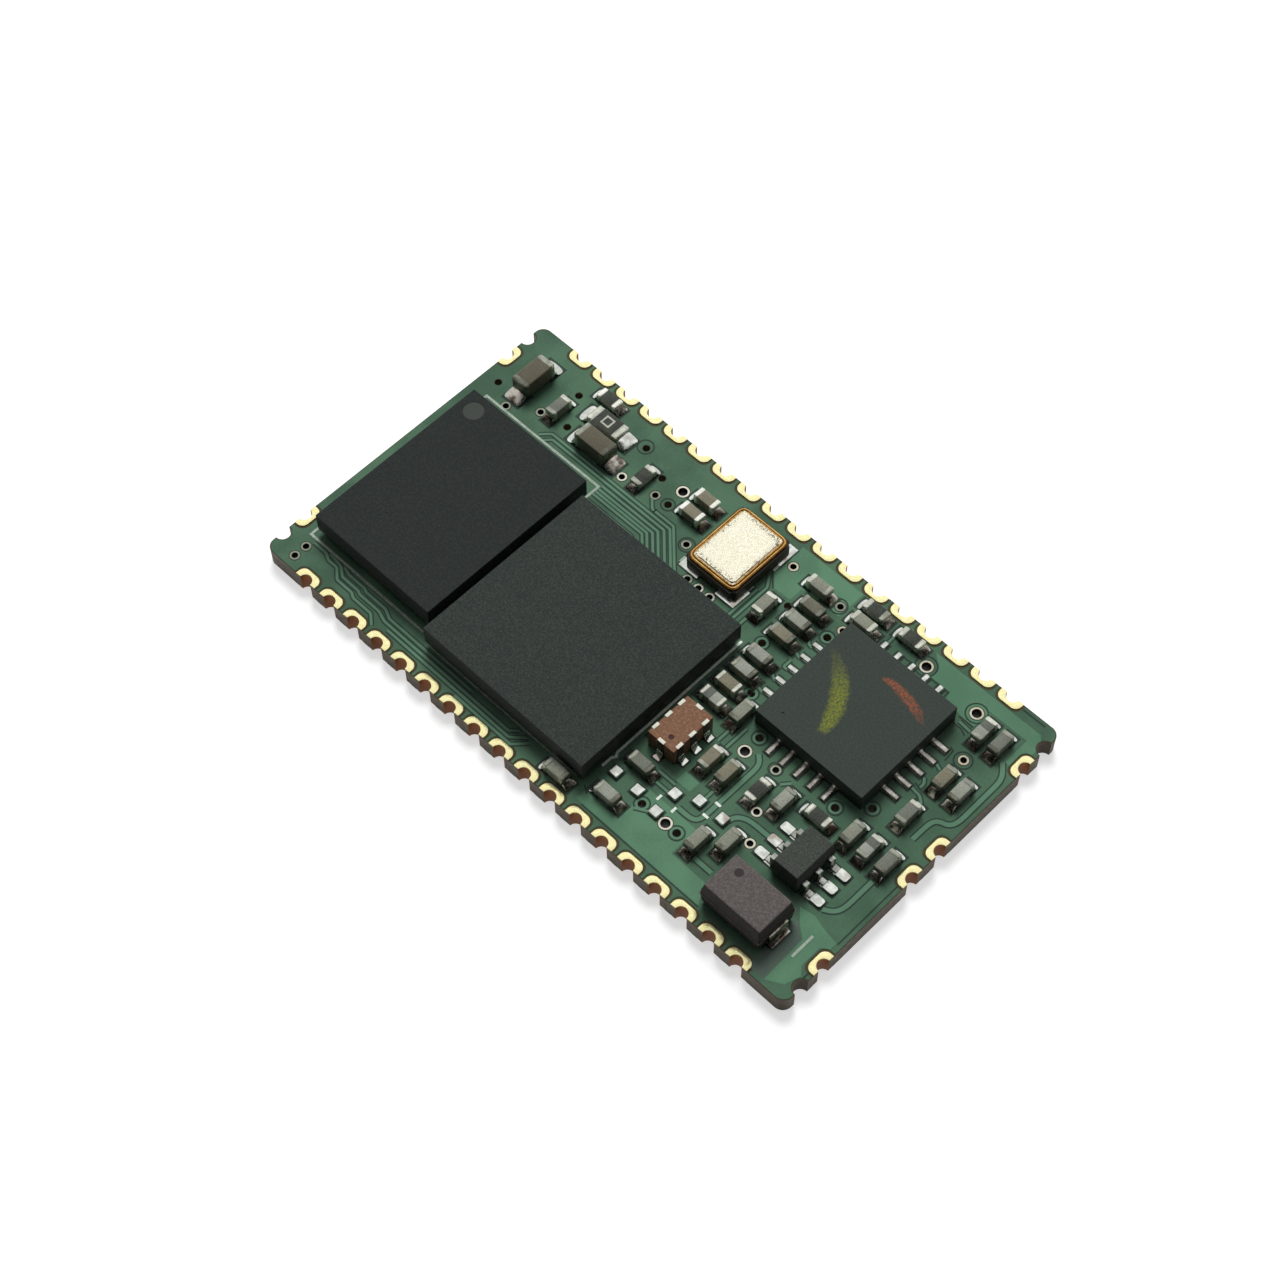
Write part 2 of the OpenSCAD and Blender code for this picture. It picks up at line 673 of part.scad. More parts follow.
module baseband_balls() { ball_grid(baseband_mid, baseband_w, baseband_d, baseband_pitch, true); }
module baseband_substrate() {
    color("darkolivegreen") seat(baseband_mid) block(baseband_w, baseband_d, ball_h, ball_h + substrate_t);
}
module baseband_case() {
    color("gray") seat(baseband_mid) block(baseband_w, baseband_d, ball_h + substrate_t, package_h);
}

// One terminal of the front-end chip, flush with the case's side and underside
module radio_terminal() {
    translate([-radio_pin_w / 2, -radio_pin_l, solder_t]) cube([radio_pin_w, radio_pin_l, radio_pin_t]);
}

module radio_each() {
    for (side = radio_sides)
        rotate(side[0]) for (p = radio_row(side[1]))
            translate(p) children();
}

module radio_paddle_block() { block(paddle_w, paddle_w, solder_t, solder_t + radio_pin_t); }

module radio_case() {
    color("darkslategray") seat(radio_mid) difference() {
        block(radio_w, radio_d, solder_t, solder_t + radio_h);
        radio_each() radio_terminal();
        radio_paddle_block();
    }
}
module radio_terminals() { color("silver") seat(radio_mid) radio_each() radio_terminal(); }
module radio_paddle() { color("silver") seat(radio_mid) radio_paddle_block(); }

// Solder bar with a round top in front of a terminal, and a thin layer under the terminal
module radio_bar() {
    bar_r = (radio_pin_w * radio_pin_w / 4 + radio_toe_h * radio_toe_h) / (2 * radio_toe_h);
    translate([-radio_pin_w / 2, -radio_pin_l, 0]) cube([radio_pin_w, radio_pin_l, solder_t]);
    intersection() {
        translate([0, 0, radio_toe_h - bar_r]) rotate([-90, 0, 0]) cylinder(r = bar_r, h = radio_toe);
        translate([-radio_pin_w, 0, 0]) cube([2 * radio_pin_w, radio_toe, radio_toe_h * 2]);
    }
}

module radio_solder() {
    color("lightgray") seat(radio_mid) {
        radio_each() radio_bar();
        block(paddle_w, paddle_w, 0, solder_t);
    }
}

crystal_seal_z = solder_t + crystal_base_h;
crystal_toe = 0.12;

module crystal_base() {
    color("saddlebrown") seat(crystal_mid) difference() {
        block(crystal_w, crystal_d, solder_t, crystal_seal_z);
        for (x = [-1, 1], y = [-1, 1])
            translate([x * crystal_w / 2, y * crystal_d / 2, 0])
                cylinder(r = crystal_corner_r, h = 3 * crystal_base_h, center = true);
    }
}
module crystal_seal_ring() {
    w = crystal_w - 2 * seal_inset;
    d = crystal_d - 2 * seal_inset;
    color("goldenrod") seat(crystal_mid) translate([0, 0, crystal_seal_z]) linear_extrude(seal_t)
        difference() {
            round_rect(w, d, lid_r);
            square([w - 2 * seal_w, d - 2 * seal_w], center = true);
        }
}
module crystal_lid() {
    inset = 2 * (seal_inset + lid_inset);
    color("lemonchiffon") seat(crystal_mid) translate([0, 0, crystal_seal_z + seal_t])
        linear_extrude(lid_t) round_rect(crystal_w - inset, crystal_d - inset, lid_r);
}
module crystal_solder() {
    side = crystal_land + crystal_toe;
    color("lightgray") seat(crystal_mid)
        for (x = [-1, 1], y = [-1, 1])
            translate([
                x * (crystal_w / 2 + crystal_toe - side / 2),
                y * (crystal_d / 2 + crystal_toe - side / 2),
                0
            ])
                block(side, side, 0, solder_t);
}

// Filter terminals: three on each long side and one on each end, as outward turns
filter_sides = [
    [0, filter_d / 2, [0]],
    [180, filter_d / 2, [0]],
    [90, filter_w / 2, [-1:1]],
    [270, filter_w / 2, [-1:1]]
];

module filter_each() {
    for (side = filter_sides, i = side[2])
        rotate(side[0]) translate([i * band_pitch, side[1], 0]) children();
}
module filter_core() { block(filter_w, filter_d, solder_t + band_t, solder_t + filter_h - band_t); }

module filter_body() { color("sienna") seat(filter_mid) filter_core(); }
module filter_bands() {
    color("whitesmoke") seat(filter_mid) difference() {
        filter_each() translate([-band_w / 2, -band_l, solder_t]) cube([band_w, band_l + band_t, filter_h]);
        filter_core();
    }
}
module filter_solder() {
    color("lightgray") seat(filter_mid) filter_each() translate([band_w / 2, band_t, 0])
        rotate([90, 0, -90]) linear_extrude(band_w) mirror([1, 0]) fillet_side(band_l, toe);
}

module regulator_case() {
    color("dimgray") seat(regulator_mid) translate([0, 0, solder_t + lead_t / 2])
        moulded(regulator_w, regulator_d, regulator_h);
}

module regulator_each() {
    for (turn = [0, 180], y = regulator_ys)
        rotate(turn) translate([regulator_w / 2, y, 0]) children();
}

module regulator_lead() {
    foot = (regulator_span - regulator_w) / 2;
    z = regulator_lead_z;
    rotate([90, 0, 0]) linear_extrude(regulator_lead_w, center = true) polygon([
        [0, z], [0, z + lead_t], [knee, z + lead_t], [knee, lead_t],
        [foot, lead_t], [foot, 0], [knee - lead_t, 0], [knee - lead_t, z]
    ]);
}

module regulator_leads() {
    color("silver") seat(regulator_mid) translate([0, 0, solder_t]) regulator_each() regulator_lead();
}
module regulator_solder() {
    foot = (regulator_span - regulator_w) / 2;
    color("lightgray") seat(regulator_mid) regulator_each()
        translate([foot, regulator_land_w / 2, 0])
            rotate([90, 0, 0]) linear_extrude(regulator_land_w) {
                translate([knee - foot - lead_t, 0]) square([foot - knee + lead_t, solder_t]);
                square([regulator_toe, solder_t + lead_t]);
            }
}

module bulk_capacitor_case() {
    color("gray") seat(bulk_mid) translate([0, 0, solder_t + lead_t]) moulded(bulk_w, bulk_d, bulk_h);
}

module bulk_each() {
    for (turn = [0, 180])
        rotate(turn) translate([bulk_w / 2, bulk_lead_w / 2, 0])
            rotate([90, 0, 0]) linear_extrude(bulk_lead_w) children();
}

module bulk_capacitor_leads() {
    color("silver") seat(bulk_mid) bulk_each() {
        translate([-bulk_lead_l, solder_t]) square([bulk_lead_l + lead_t, lead_t]);
        translate([0, solder_t]) square([lead_t, lead_t + bulk_h * parting]);
    }
}
module bulk_capacitor_solder() {
    color("lightgray") seat(bulk_mid) bulk_each()
        translate([lead_t, 0]) fillet_side(bulk_lead_l + lead_t, bulk_toe);
}

module memory_capacitor_bodies() {
    color("rosybrown") {
        large_bodies(memory_large_capacitors, large_h);
        small_bodies(memory_small_capacitors, chip_h);
    }
}
module memory_capacitor_ends() {
    color("silver") {
        large_ends(memory_large_capacitors, large_h);
        small_ends(memory_small_capacitors, chip_h);
    }
}
module memory_resistor_bodies() {
    color("whitesmoke") {
        large_bodies(memory_large_resistors, large_resistor_h);
        small_bodies(memory_small_resistors, resistor_h);
    }
}
module memory_resistor_coats() {
    color("black") {
        chip_coats(memory_large_resistors, large_l, large_w, large_resistor_h, large_end_l);
        small_coats(memory_small_resistors);
    }
}
module memory_resistor_ends() {
    color("silver") {
        large_ends(memory_large_resistors, large_resistor_h);
        small_ends(memory_small_resistors, resistor_h);
    }
}
module memory_solder() {
    large_places = concat(memory_large_capacitors, memory_large_resistors);
    color("lightgray") {
        chip_solder(large_places, large_l, large_w, large_end_l, large_toe);
        small_solder(concat(memory_small_capacitors, memory_small_resistors));
    }
}

module crystal_capacitor_bodies() { color("tan") small_bodies(crystal_capacitors, chip_h); }
module crystal_capacitor_ends() { color("silver") small_ends(crystal_capacitors, chip_h); }
module crystal_capacitor_solder() { color("lightgray") small_solder(crystal_capacitors); }

module column_capacitor_bodies() { color("tan") small_bodies(column_capacitors, chip_h); }
module column_capacitor_ends() { color("silver") small_ends(column_capacitors, chip_h); }
module column_inductor_body() { color("slategray") small_bodies(column_inductors, chip_h); }
module column_inductor_ends() { color("silver") small_ends(column_inductors, chip_h); }
module column_resistor_bodies() { color("whitesmoke") small_bodies(column_resistors, resistor_h); }
module column_resistor_coats() { color("black") small_coats(column_resistors); }
module column_resistor_ends() { color("silver") small_ends(column_resistors, resistor_h); }
module column_solder() {
    color("lightgray") small_solder(concat(column_capacitors, column_inductors, column_resistors));
}

module antenna_capacitor_bodies() { color("tan") small_bodies(antenna_capacitors, chip_h); }
module antenna_capacitor_ends() { color("silver") small_ends(antenna_capacitors, chip_h); }
module antenna_inductor_bodies() { color("slategray") small_bodies(antenna_inductors, chip_h); }
module antenna_inductor_ends() { color("silver") small_ends(antenna_inductors, chip_h); }
module antenna_solder() { color("lightgray") small_solder(concat(antenna_capacitors, antenna_inductors)); }

module supply_capacitor_bodies() { color("tan") small_bodies(supply_capacitors, chip_h); }
module supply_capacitor_ends() { color("silver") small_ends(supply_capacitors, chip_h); }
module supply_resistor_bodies() { color("whitesmoke") small_bodies(supply_resistors, resistor_h); }
module supply_resistor_coats() { color("black") small_coats(supply_resistors); }
module supply_resistor_ends() { color("silver") small_ends(supply_resistors, resistor_h); }
module supply_solder() { color("lightgray") small_solder(concat(supply_capacitors, supply_resistors)); }

// Spare land: a square of solder with a low crown
module spare_lands() {
    half = spare_w / 2;
    crown_r = (2 * half * half + spare_h * spare_h) / (2 * spare_h);
    color("lightgray")
        for (place = spare_places)
            seat(place) intersection() {
                translate([0, 0, solder_t + spare_h - crown_r]) sphere(crown_r, $fn = 64);
                block(spare_w, spare_w, 0, solder_t + spare_h);
            }
}

circuit_board();
front_contacts();
rear_contacts();
antenna_contacts();
memory_end_contacts();
plated_vias();
memory_case();
memory_substrate();
memory_balls();
baseband_case();
baseband_substrate();
baseband_balls();
radio_case();
radio_terminals();
radio_paddle();
radio_solder();
crystal_base();
crystal_seal_ring();
crystal_lid();
crystal_solder();
filter_body();
filter_bands();
filter_solder();
regulator_case();
regulator_leads();
regulator_solder();
bulk_capacitor_case();
bulk_capacitor_leads();
bulk_capacitor_solder();
memory_capacitor_bodies();
memory_capacitor_ends();
memory_resistor_bodies();
memory_resistor_coats();
memory_resistor_ends();
memory_solder();
crystal_capacitor_bodies();
crystal_capacitor_ends();
crystal_capacitor_solder();
column_capacitor_bodies();
column_capacitor_ends();
column_inductor_body();
column_inductor_ends();
column_resistor_bodies();
column_resistor_coats();
column_resistor_ends();
column_solder();
antenna_capacitor_bodies();
antenna_capacitor_ends();
antenna_inductor_bodies();
antenna_inductor_ends();
antenna_solder();
supply_capacitor_bodies();
supply_capacitor_ends();
supply_resistor_bodies();
supply_resistor_coats();
supply_resistor_ends();
supply_solder();
spare_lands();
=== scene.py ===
import json
import math

import bpy
import numpy as np
from mathutils import Matrix, Vector

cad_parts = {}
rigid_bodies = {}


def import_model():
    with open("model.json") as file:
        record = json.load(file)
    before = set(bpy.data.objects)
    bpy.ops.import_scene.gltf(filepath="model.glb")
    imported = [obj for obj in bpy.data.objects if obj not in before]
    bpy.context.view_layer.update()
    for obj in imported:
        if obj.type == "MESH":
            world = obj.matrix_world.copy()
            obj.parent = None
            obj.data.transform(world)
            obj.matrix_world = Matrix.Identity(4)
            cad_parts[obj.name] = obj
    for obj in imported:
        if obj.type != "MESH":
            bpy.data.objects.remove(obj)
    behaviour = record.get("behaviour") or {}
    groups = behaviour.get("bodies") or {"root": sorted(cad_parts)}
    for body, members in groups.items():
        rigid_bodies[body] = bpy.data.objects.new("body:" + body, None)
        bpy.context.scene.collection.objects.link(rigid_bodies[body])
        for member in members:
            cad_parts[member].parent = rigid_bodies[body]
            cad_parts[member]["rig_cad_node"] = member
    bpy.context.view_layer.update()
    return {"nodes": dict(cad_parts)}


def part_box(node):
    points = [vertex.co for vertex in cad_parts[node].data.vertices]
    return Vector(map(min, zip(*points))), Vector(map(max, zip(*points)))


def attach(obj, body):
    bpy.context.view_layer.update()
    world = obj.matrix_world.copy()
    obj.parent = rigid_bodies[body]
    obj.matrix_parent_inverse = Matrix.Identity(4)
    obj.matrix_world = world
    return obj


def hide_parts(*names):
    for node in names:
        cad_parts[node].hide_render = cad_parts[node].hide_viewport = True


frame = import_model()
mm = 0.001  # all sizes below are in millimetres
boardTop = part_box("circuit_board")[1][2] / mm
along, across = 0.0, math.pi / 2  # the two ways that a small chip lies
touching = 1e-4  # corners closer than this are the same
clear = 0.1  # how far a cutter stands past the face that it cuts


# shader wiring

class Wire:
    # a socket that can be used in plain sums; each sum adds its Math node
    def __init__(self, finish, socket):
        self.finish = finish
        self.socket = socket

    def maths(self, operation, *values):
        return self.finish.node("Math", {"operation": operation}, values)

    def __add__(self, other):
        return self.maths("ADD", self, other)

    def __radd__(self, other):
        return self.maths("ADD", other, self)

    def __sub__(self, other):
        return self.maths("SUBTRACT", self, other)

    def __rsub__(self, other):
        return self.maths("SUBTRACT", other, self)

    def __mul__(self, other):
        return self.maths("MULTIPLY", self, other)

    def __rmul__(self, other):
        return self.maths("MULTIPLY", other, self)

    def __truediv__(self, other):
        return self.maths("DIVIDE", self, other)

    def __mod__(self, other):
        return self.maths("FLOORED_MODULO", self, other)

    def __lt__(self, other):
        return self.maths("LESS_THAN", self, other)

    def __gt__(self, other):
        return self.maths("GREATER_THAN", self, other)

    def __abs__(self):
        return self.maths("ABSOLUTE", self)


class Finish:
    # one material, with the few node recipes that this module's finishes share
    def __init__(self, name, **constants):
        self.material = bpy.data.materials.new(name)
        self.material.use_nodes = True
        self.tree = self.material.node_tree
        self.shader = self.tree.nodes["Principled BSDF"]
        for socket, value in constants.items():
            self.shader.inputs[socket.replace("_", " ")].default_value = value
        self.place = self.node("TexCoord", {}, {}, "Object")

    def node(self, kind, settings, inputs, output=0):
        made = self.tree.nodes.new("ShaderNode" + kind)
        for key, value in settings.items():
            setattr(made, key, value)
        pairs = inputs.items() if isinstance(inputs, dict) else enumerate(inputs)
        for key, value in pairs:
            if isinstance(value, Wire):
                self.tree.links.new(value.socket, made.inputs[key])
            else:
                made.inputs[key].default_value = value
        return Wire(self, made.outputs[output])

    def feed(self, socket, value):
        self.tree.links.new(value.socket, self.shader.inputs[socket])

    def axes(self):
        # object coordinates as three numbers in millimetres
        scaled = self.node("VectorMath", {"operation": "SCALE"}, {0: self.place, "Scale": 1 / mm})
        return [self.node("SeparateXYZ", {}, [scaled], output) for output in range(3)]

    def facing(self, axis=2):
        normal = self.node("NewGeometry", {}, {}, "Normal")
        return self.node("SeparateXYZ", {}, [normal], axis)

    def onTop(self):
        return self.facing() > 0.5

    def noise(self, size, detail=3.0, rough=0.55, stretch=(1, 1, 1)):
        spot = self.node("Mapping", {}, {0: self.place, "Scale": stretch})
        return self.node("TexNoise", {}, {
            "Vector": spot, "Scale": 1 / (size * mm), "Detail": detail, "Roughness": rough})

    def cells(self, size, output="Distance"):
        return self.node("TexVoronoi", {}, {"Vector": self.place, "Scale": 1 / (size * mm)}, output)

    def fade(self, value, low, high, start=0.0, end=1.0):
        return self.node("MapRange", {"interpolation_type": "SMOOTHSTEP"}, [value, low, high, start, end])

    def blend(self, factor, first, second):
        return self.node("Mix", {"data_type": "RGBA"}, {0: factor, 6: first, 7: second}, 2)

    def dot(self, spot, radius, blur=0.03):
        # 1 inside a round mark on the upper face, 0 outside it
        x, y = self.axes()[:2]
        flat = self.node("CombineXYZ", {}, [x - spot[0], y - spot[1], 0.0])
        away = self.node("VectorMath", {"operation": "LENGTH"}, [flat], "Value")
        return self.fade(away, radius, radius - blur) * self.onTop()

    def bump(self, height, depth, strength=1.0):
        return self.node("Bump", {}, {"Strength": strength, "Distance": depth * mm, "Height": height})

    def done(self, colour=None, rough=None, height=None, depth=0.01, strength=0.6):
        if colour is not None:
            self.feed("Base Color", colour)
        if rough is not None:
            self.feed("Roughness", rough)
        if height is not None:
            self.feed("Normal", self.bump(height, depth, strength))
        return self.material


def paint(red, green, blue):
    # a screen colour, 0 to 255, as linear light
    def linear(value):
        value /= 255
        return value / 12.92 if value <= 0.04045 else ((value + 0.055) / 1.055) ** 2.4
    return (linear(red), linear(green), linear(blue), 1.0)


# modelling helpers

def solo(piece):
    if bpy.context.object and bpy.context.object.mode != "OBJECT":
        bpy.ops.object.mode_set(mode="OBJECT")
    bpy.ops.object.select_all(action="DESELECT")
    piece.select_set(True)
    bpy.context.view_layer.objects.active = piece


def settled(name):
    # the piece that was just added, with its place and size worked into the mesh
    piece = bpy.context.object
    piece.name = name
    bpy.ops.object.transform_apply(location=True, rotation=True, scale=True)
    return piece


def boxOf(node):
    return [Vector(corner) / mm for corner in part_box(node)]


def block(name, low, high):
    bpy.ops.object.select_all(action="DESELECT")
    low, high = Vector(low), Vector(high)
    bpy.ops.mesh.primitive_cube_add(size=1, location=(low + high) / 2 * mm, scale=(high - low) * mm)
    return settled(name)


def disc(name, spot, radius, low, high, sides=32):
    bpy.ops.object.select_all(action="DESELECT")
    bpy.ops.mesh.primitive_cylinder_add(
        vertices=sides, radius=radius * mm, depth=(high - low) * mm,
        location=(spot[0] * mm, spot[1] * mm, (low + high) / 2 * mm))
    return settled(name)


def finishWith(piece, kind, **settings):
    solo(piece)
    modifier = piece.modifiers.new(kind.lower(), kind)
    for key, value in settings.items():
        setattr(modifier, key, value)
    bpy.ops.object.modifier_apply(modifier=modifier.name)
    return piece


def shade(piece, angle=50):
    solo(piece)
    bpy.ops.object.shade_smooth_by_angle(angle=math.radians(angle))
    return finishWith(piece, "WEIGHTED_NORMAL", keep_sharp=True)


def soften(piece, width, segments=2, angle=30):
    finishWith(piece, "BEVEL", width=width * mm, segments=segments,
               limit_method="ANGLE", angle_limit=math.radians(angle))
    return shade(piece)


def editAll(piece, action="SELECT"):
    # into edit mode with everything selected, or nothing
    solo(piece)
    bpy.ops.object.mode_set(mode="EDIT")
    bpy.ops.mesh.select_all(action=action)


def editDone(piece):
    bpy.ops.object.mode_set(mode="OBJECT")
    return piece


def roundEdges(piece, chosen, width, segments=4):
    # bevels only the edges that chosen(first corner, second corner) picks, in millimetres
    editAll(piece, "DESELECT")
    editDone(piece)
    bpy.context.tool_settings.mesh_select_mode = (False, True, False)
    spots = piece.data.vertices
    for edge in piece.data.edges:
        first, second = (spots[i].co / mm for i in edge.vertices)
        edge.select = chosen(first, second)
    bpy.ops.object.mode_set(mode="EDIT")
    bpy.ops.mesh.bevel(offset=width * mm, segments=segments, affect="EDGES")
    return editDone(piece)


def everyEdge(first, second):
    return True


def upright(first, second):
    return abs(first.z - second.z) > touching and (first - second).xy.length < touching


def outerEdge(low, high):
    # picks the upright corners and the top rim of a box
    def sides(spot):
        return [abs(spot[i] - limit[i]) < touching for i in (0, 1) for limit in (low, high)]

    def chosen(first, second):
        onCorner = upright(first, second) and sum(sides(first)) == 2
        onRim = any(a and b for a, b in zip(sides(first), sides(second)))
        return onCorner or (onRim and min(first.z, second.z) > high.z - touching)
    return chosen


def isFar(turn):
    # towards the memory chip or the rear
    return math.sin(turn) > math.cos(turn)


def pickFaces(piece, chosen):
    # selects faces by their middle and normal, and leaves the piece in edit mode
    bpy.context.tool_settings.mesh_select_mode = (False, False, True)
    editAll(piece, "DESELECT")
    editDone(piece)
    for face in piece.data.polygons:
        face.select = chosen(face.center / mm, face.normal)
    bpy.ops.object.mode_set(mode="EDIT")


def paintFaces(piece, finish, chosen):
    # one more finish, on the faces that chosen(middle, normal) picks
    piece.data.materials.append(finish)
    pickFaces(piece, chosen)
    piece.active_material_index = len(piece.data.materials) - 1
    bpy.ops.object.material_slot_assign()
    return editDone(piece)


def joined(pieces, name):
    solo(pieces[0])
    for piece in pieces:
        piece.select_set(True)
    if len(pieces) > 1:
        bpy.ops.object.join()
    pieces[0].name = name
    return pieces[0]


def twin(model, name):
    piece = model.copy()
    piece.data = model.data.copy()
    piece.name = name
    bpy.context.collection.objects.link(piece)
    return piece


def copies(model, spots, name):
    # a copy of the model at each spot (x, y, z, turn), joined as one piece; the model goes
    made = []
    for x, y, z, turn in spots:
        piece = twin(model, name)
        piece.data.transform(Matrix.Translation(Vector((x, y, z)) * mm) @ Matrix.Rotation(turn, 4, "Z"))
        made.append(piece)
    bpy.data.objects.remove(model)
    return joined(made, name)


def cut(piece, cutter):
    finishWith(piece, "BOOLEAN", object=cutter, operation="DIFFERENCE", solver="EXACT")
    bpy.data.objects.remove(cutter)
    return piece


def pressDot(piece, spot, radius, depth, top, sides):
    # a shallow round dimple in the upper face
    return cut(piece, disc("dot", spot, radius, top - depth, top + clear, sides))


def merged(node, name, gap=0.0004):
    # a copy of a CAD solid, with its loose triangles merged into whole faces
    piece = twin(frame["nodes"][node], name)
    piece.parent = None
    del piece["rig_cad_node"]
    editAll(piece)
    bpy.ops.mesh.remove_doubles(threshold=gap * mm)
    bpy.ops.mesh.dissolve_limited(angle_limit=math.radians(1))
    return editDone(piece)


def softCopy(node, name, width, segments=2, angle=30):
    return soften(merged(node, name), width, segments, angle)


def drawn(name, spots, edges, faces):
    mesh = bpy.data.meshes.new(name)
    mesh.from_pydata([Vector(spot) * mm for spot in spots], edges, faces)
    piece = bpy.data.objects.new(name, mesh)
    bpy.context.collection.objects.link(piece)
    return piece


def corners(low, high):
    return [(low[0], low[1]), (high[0], low[1]), (high[0], high[1]), (low[0], high[1])]


def rounded(path, radius, most=0.45):
    # a path of (x, y) spots with its inner corners eased, over at most this share of each arm
    soft = [Vector(path[0])]
    for before, corner, after in zip(path, path[1:], path[2:]):
        corner = Vector(corner)
        arms = [Vector(end) - corner for end in (before, after)]
        start, end = (corner + arm.normalized() * min(radius, arm.length * most) for arm in arms)
        for step in (0.0, 0.33, 0.67, 1.0):
            soft.append(start.lerp(corner, step).lerp(corner.lerp(end, step), step))
    return soft + [Vector(path[-1])]


def stagger(index, step=0.0003, levels=7):
    # strips that cross lie a hair apart in height, so that no two share a surface
    return step * (index % levels)


def ribbons(name, paths, width, low, high):
    # flat strips that follow the paths; a path that comes back to its start is a ring
    spots, edges = [], []
    for index, path in enumerate(paths):
        ring = (Vector(path[0]) - Vector(path[-1])).length < touching
        first = len(spots)
        spots += [(x, y, low + stagger(index)) for x, y in (path[:-1] if ring else path)]
        edges += [(i, i + 1) for i in range(first, len(spots) - 1)]
        if ring:
            edges.append((len(spots) - 1, first))
    piece = drawn(name, spots, edges, [])
    bpy.context.tool_settings.mesh_select_mode = (True, False, False)
    editAll(piece)
    bpy.ops.mesh.extrude_region_move(TRANSFORM_OT_translate={"value": (0, 0, (high - low) * mm)})
    return finishWith(editDone(piece), "SOLIDIFY", thickness=width * mm, offset=0, use_even_offset=True)


def plates(name, outlines, low, high):
    spots, faces = [], []
    for index, outline in enumerate(outlines):
        faces.append(list(range(len(spots), len(spots) + len(outline))))
        spots += [(x, y, high + stagger(index)) for x, y in outline]
    piece = drawn(name, spots, [], faces)
    editAll(piece)
    bpy.ops.mesh.normals_make_consistent(inside=False)
    editDone(piece)
    for face in piece.data.polygons:
        if face.normal.z < 0:
            face.flip()
    return finishWith(piece, "SOLIDIFY", thickness=(high - low) * mm, offset=-1)


def circle(spot, radius, sides=24):
    turns = [2 * math.pi * i / sides for i in range(sides)]
    ring = [(spot[0] + radius * math.cos(turn), spot[1] + radius * math.sin(turn)) for turn in turns]
    return ring + ring[:1]


def solidsOf(node, wallsOnly=False):
    # low and high corner, in millimetres, of each separate solid or upright wall in a CAD node
    mesh = frame["nodes"][node].data
    spots = np.zeros(len(mesh.vertices) * 3)
    mesh.vertices.foreach_get("co", spots)
    spots = spots.reshape(-1, 3) / mm
    loops = np.zeros(len(mesh.loops), int)
    mesh.loops.foreach_get("vertex_index", loops)
    same = np.unique(np.round(spots, 4), axis=0, return_inverse=True)[1].reshape(-1)
    faces = same[loops].reshape(-1, 3)
    if wallsOnly:
        normals = np.zeros(len(mesh.polygons) * 3)
        mesh.polygons.foreach_get("normal", normals)
        faces = faces[np.abs(normals.reshape(-1, 3)[:, 2]) < 0.1]
    label = np.arange(same.max() + 1)
    while True:
        lowest = label[faces].min(axis=1)
        after = label.copy()
        for corner in range(3):
            np.minimum.at(after, faces[:, corner], lowest)
        if (after == label).all():
            break
        label = after
    group = label[same]
    boxes = [(spots[group == g].min(0), spots[group == g].max(0)) for g in np.unique(label[faces])]
    return sorted(boxes, key=lambda box: tuple(np.round(box[0], 3)))


def painted(piece, finish):
    piece.data.materials.clear()
    piece.data.materials.append(finish)
    return piece


def dress(node, finish):
    # a CAD solid that stays as it is, with a better finish
    painted(frame["nodes"][node], finish)


def keep(piece, finish, slot, *nodes):
    # the last step of a piece: its finish, the body it rides on, the nodes it stands for; the slot is not
    # used
    if finish is not None:
        painted(piece, finish)
    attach(piece, "root")
    if nodes:
        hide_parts(*nodes)


def keepCopy(node, edge, finish, slot, segments=2):
    # a piece that is its CAD solid with softened edges
    keep(softCopy(node, titled(node), edge, segments), finish, slot, node)


def titled(node):
    return node.replace("_", " ").title().replace(" ", "")


def isNear(spot, spots, reach=0.4):
    return any(math.dist(spot[:2], other) < reach for other in spots)


def spotIn(low, high, shares):
    # the spot at these shares of a box's width and depth
    return [low[i] + shares[i] * (high[i] - low[i]) for i in (0, 1)]


# finishes that several pieces share

def metalFinish(name, colour, tint, rough, grain=0.07, depth=0.01, metallic=1.0):
    finish = Finish(name, Metallic=metallic)
    ripple = finish.noise(grain, 3)
    patch = finish.noise(grain * 5, 2)
    shadeOf = finish.blend(finish.fade(patch, 0.4, 0.7), paint(*colour), paint(*tint))
    roughness = finish.fade(ripple, 0.3, 0.7, rough - 0.07, rough + 0.1)
    return finish.done(shadeOf, roughness, ripple + patch, depth)


def mouldFinish(name, colour, speck, grain, depth, rough=0.5, sheen=0.12):
    # moulded epoxy: a dark body with pale filler grains
    finish = Finish(name, Specular_IOR_Level=sheen)
    sand = finish.noise(grain, 3, 0.6)
    cloud = finish.noise(1.6, 2)
    level = finish.fade(sand + 0.06 * cloud, 0.42, 0.72)
    body = finish.blend(level, paint(*colour), paint(*speck))
    return finish, body, finish.fade(sand, 0.3, 0.75, rough, rough + 0.2), sand, depth


def plainMould(*settings, **more):
    finish, body, rough, height, depth = mouldFinish(*settings, **more)
    return finish.done(body, rough, height, depth)


def ceramicFinish(name, colour, tint, grain=0.06, sheen=0.3):
    finish = Finish(name, Specular_IOR_Level=sheen)
    fine = finish.noise(grain, 3)
    patch = finish.noise(0.4, 2)
    shadeOf = finish.blend(finish.fade(fine + 0.4 * patch, 0.5, 0.9), paint(*colour), paint(*tint))
    return finish.done(shadeOf, finish.fade(fine, 0.3, 0.7, 0.42, 0.6), fine, 0.006)


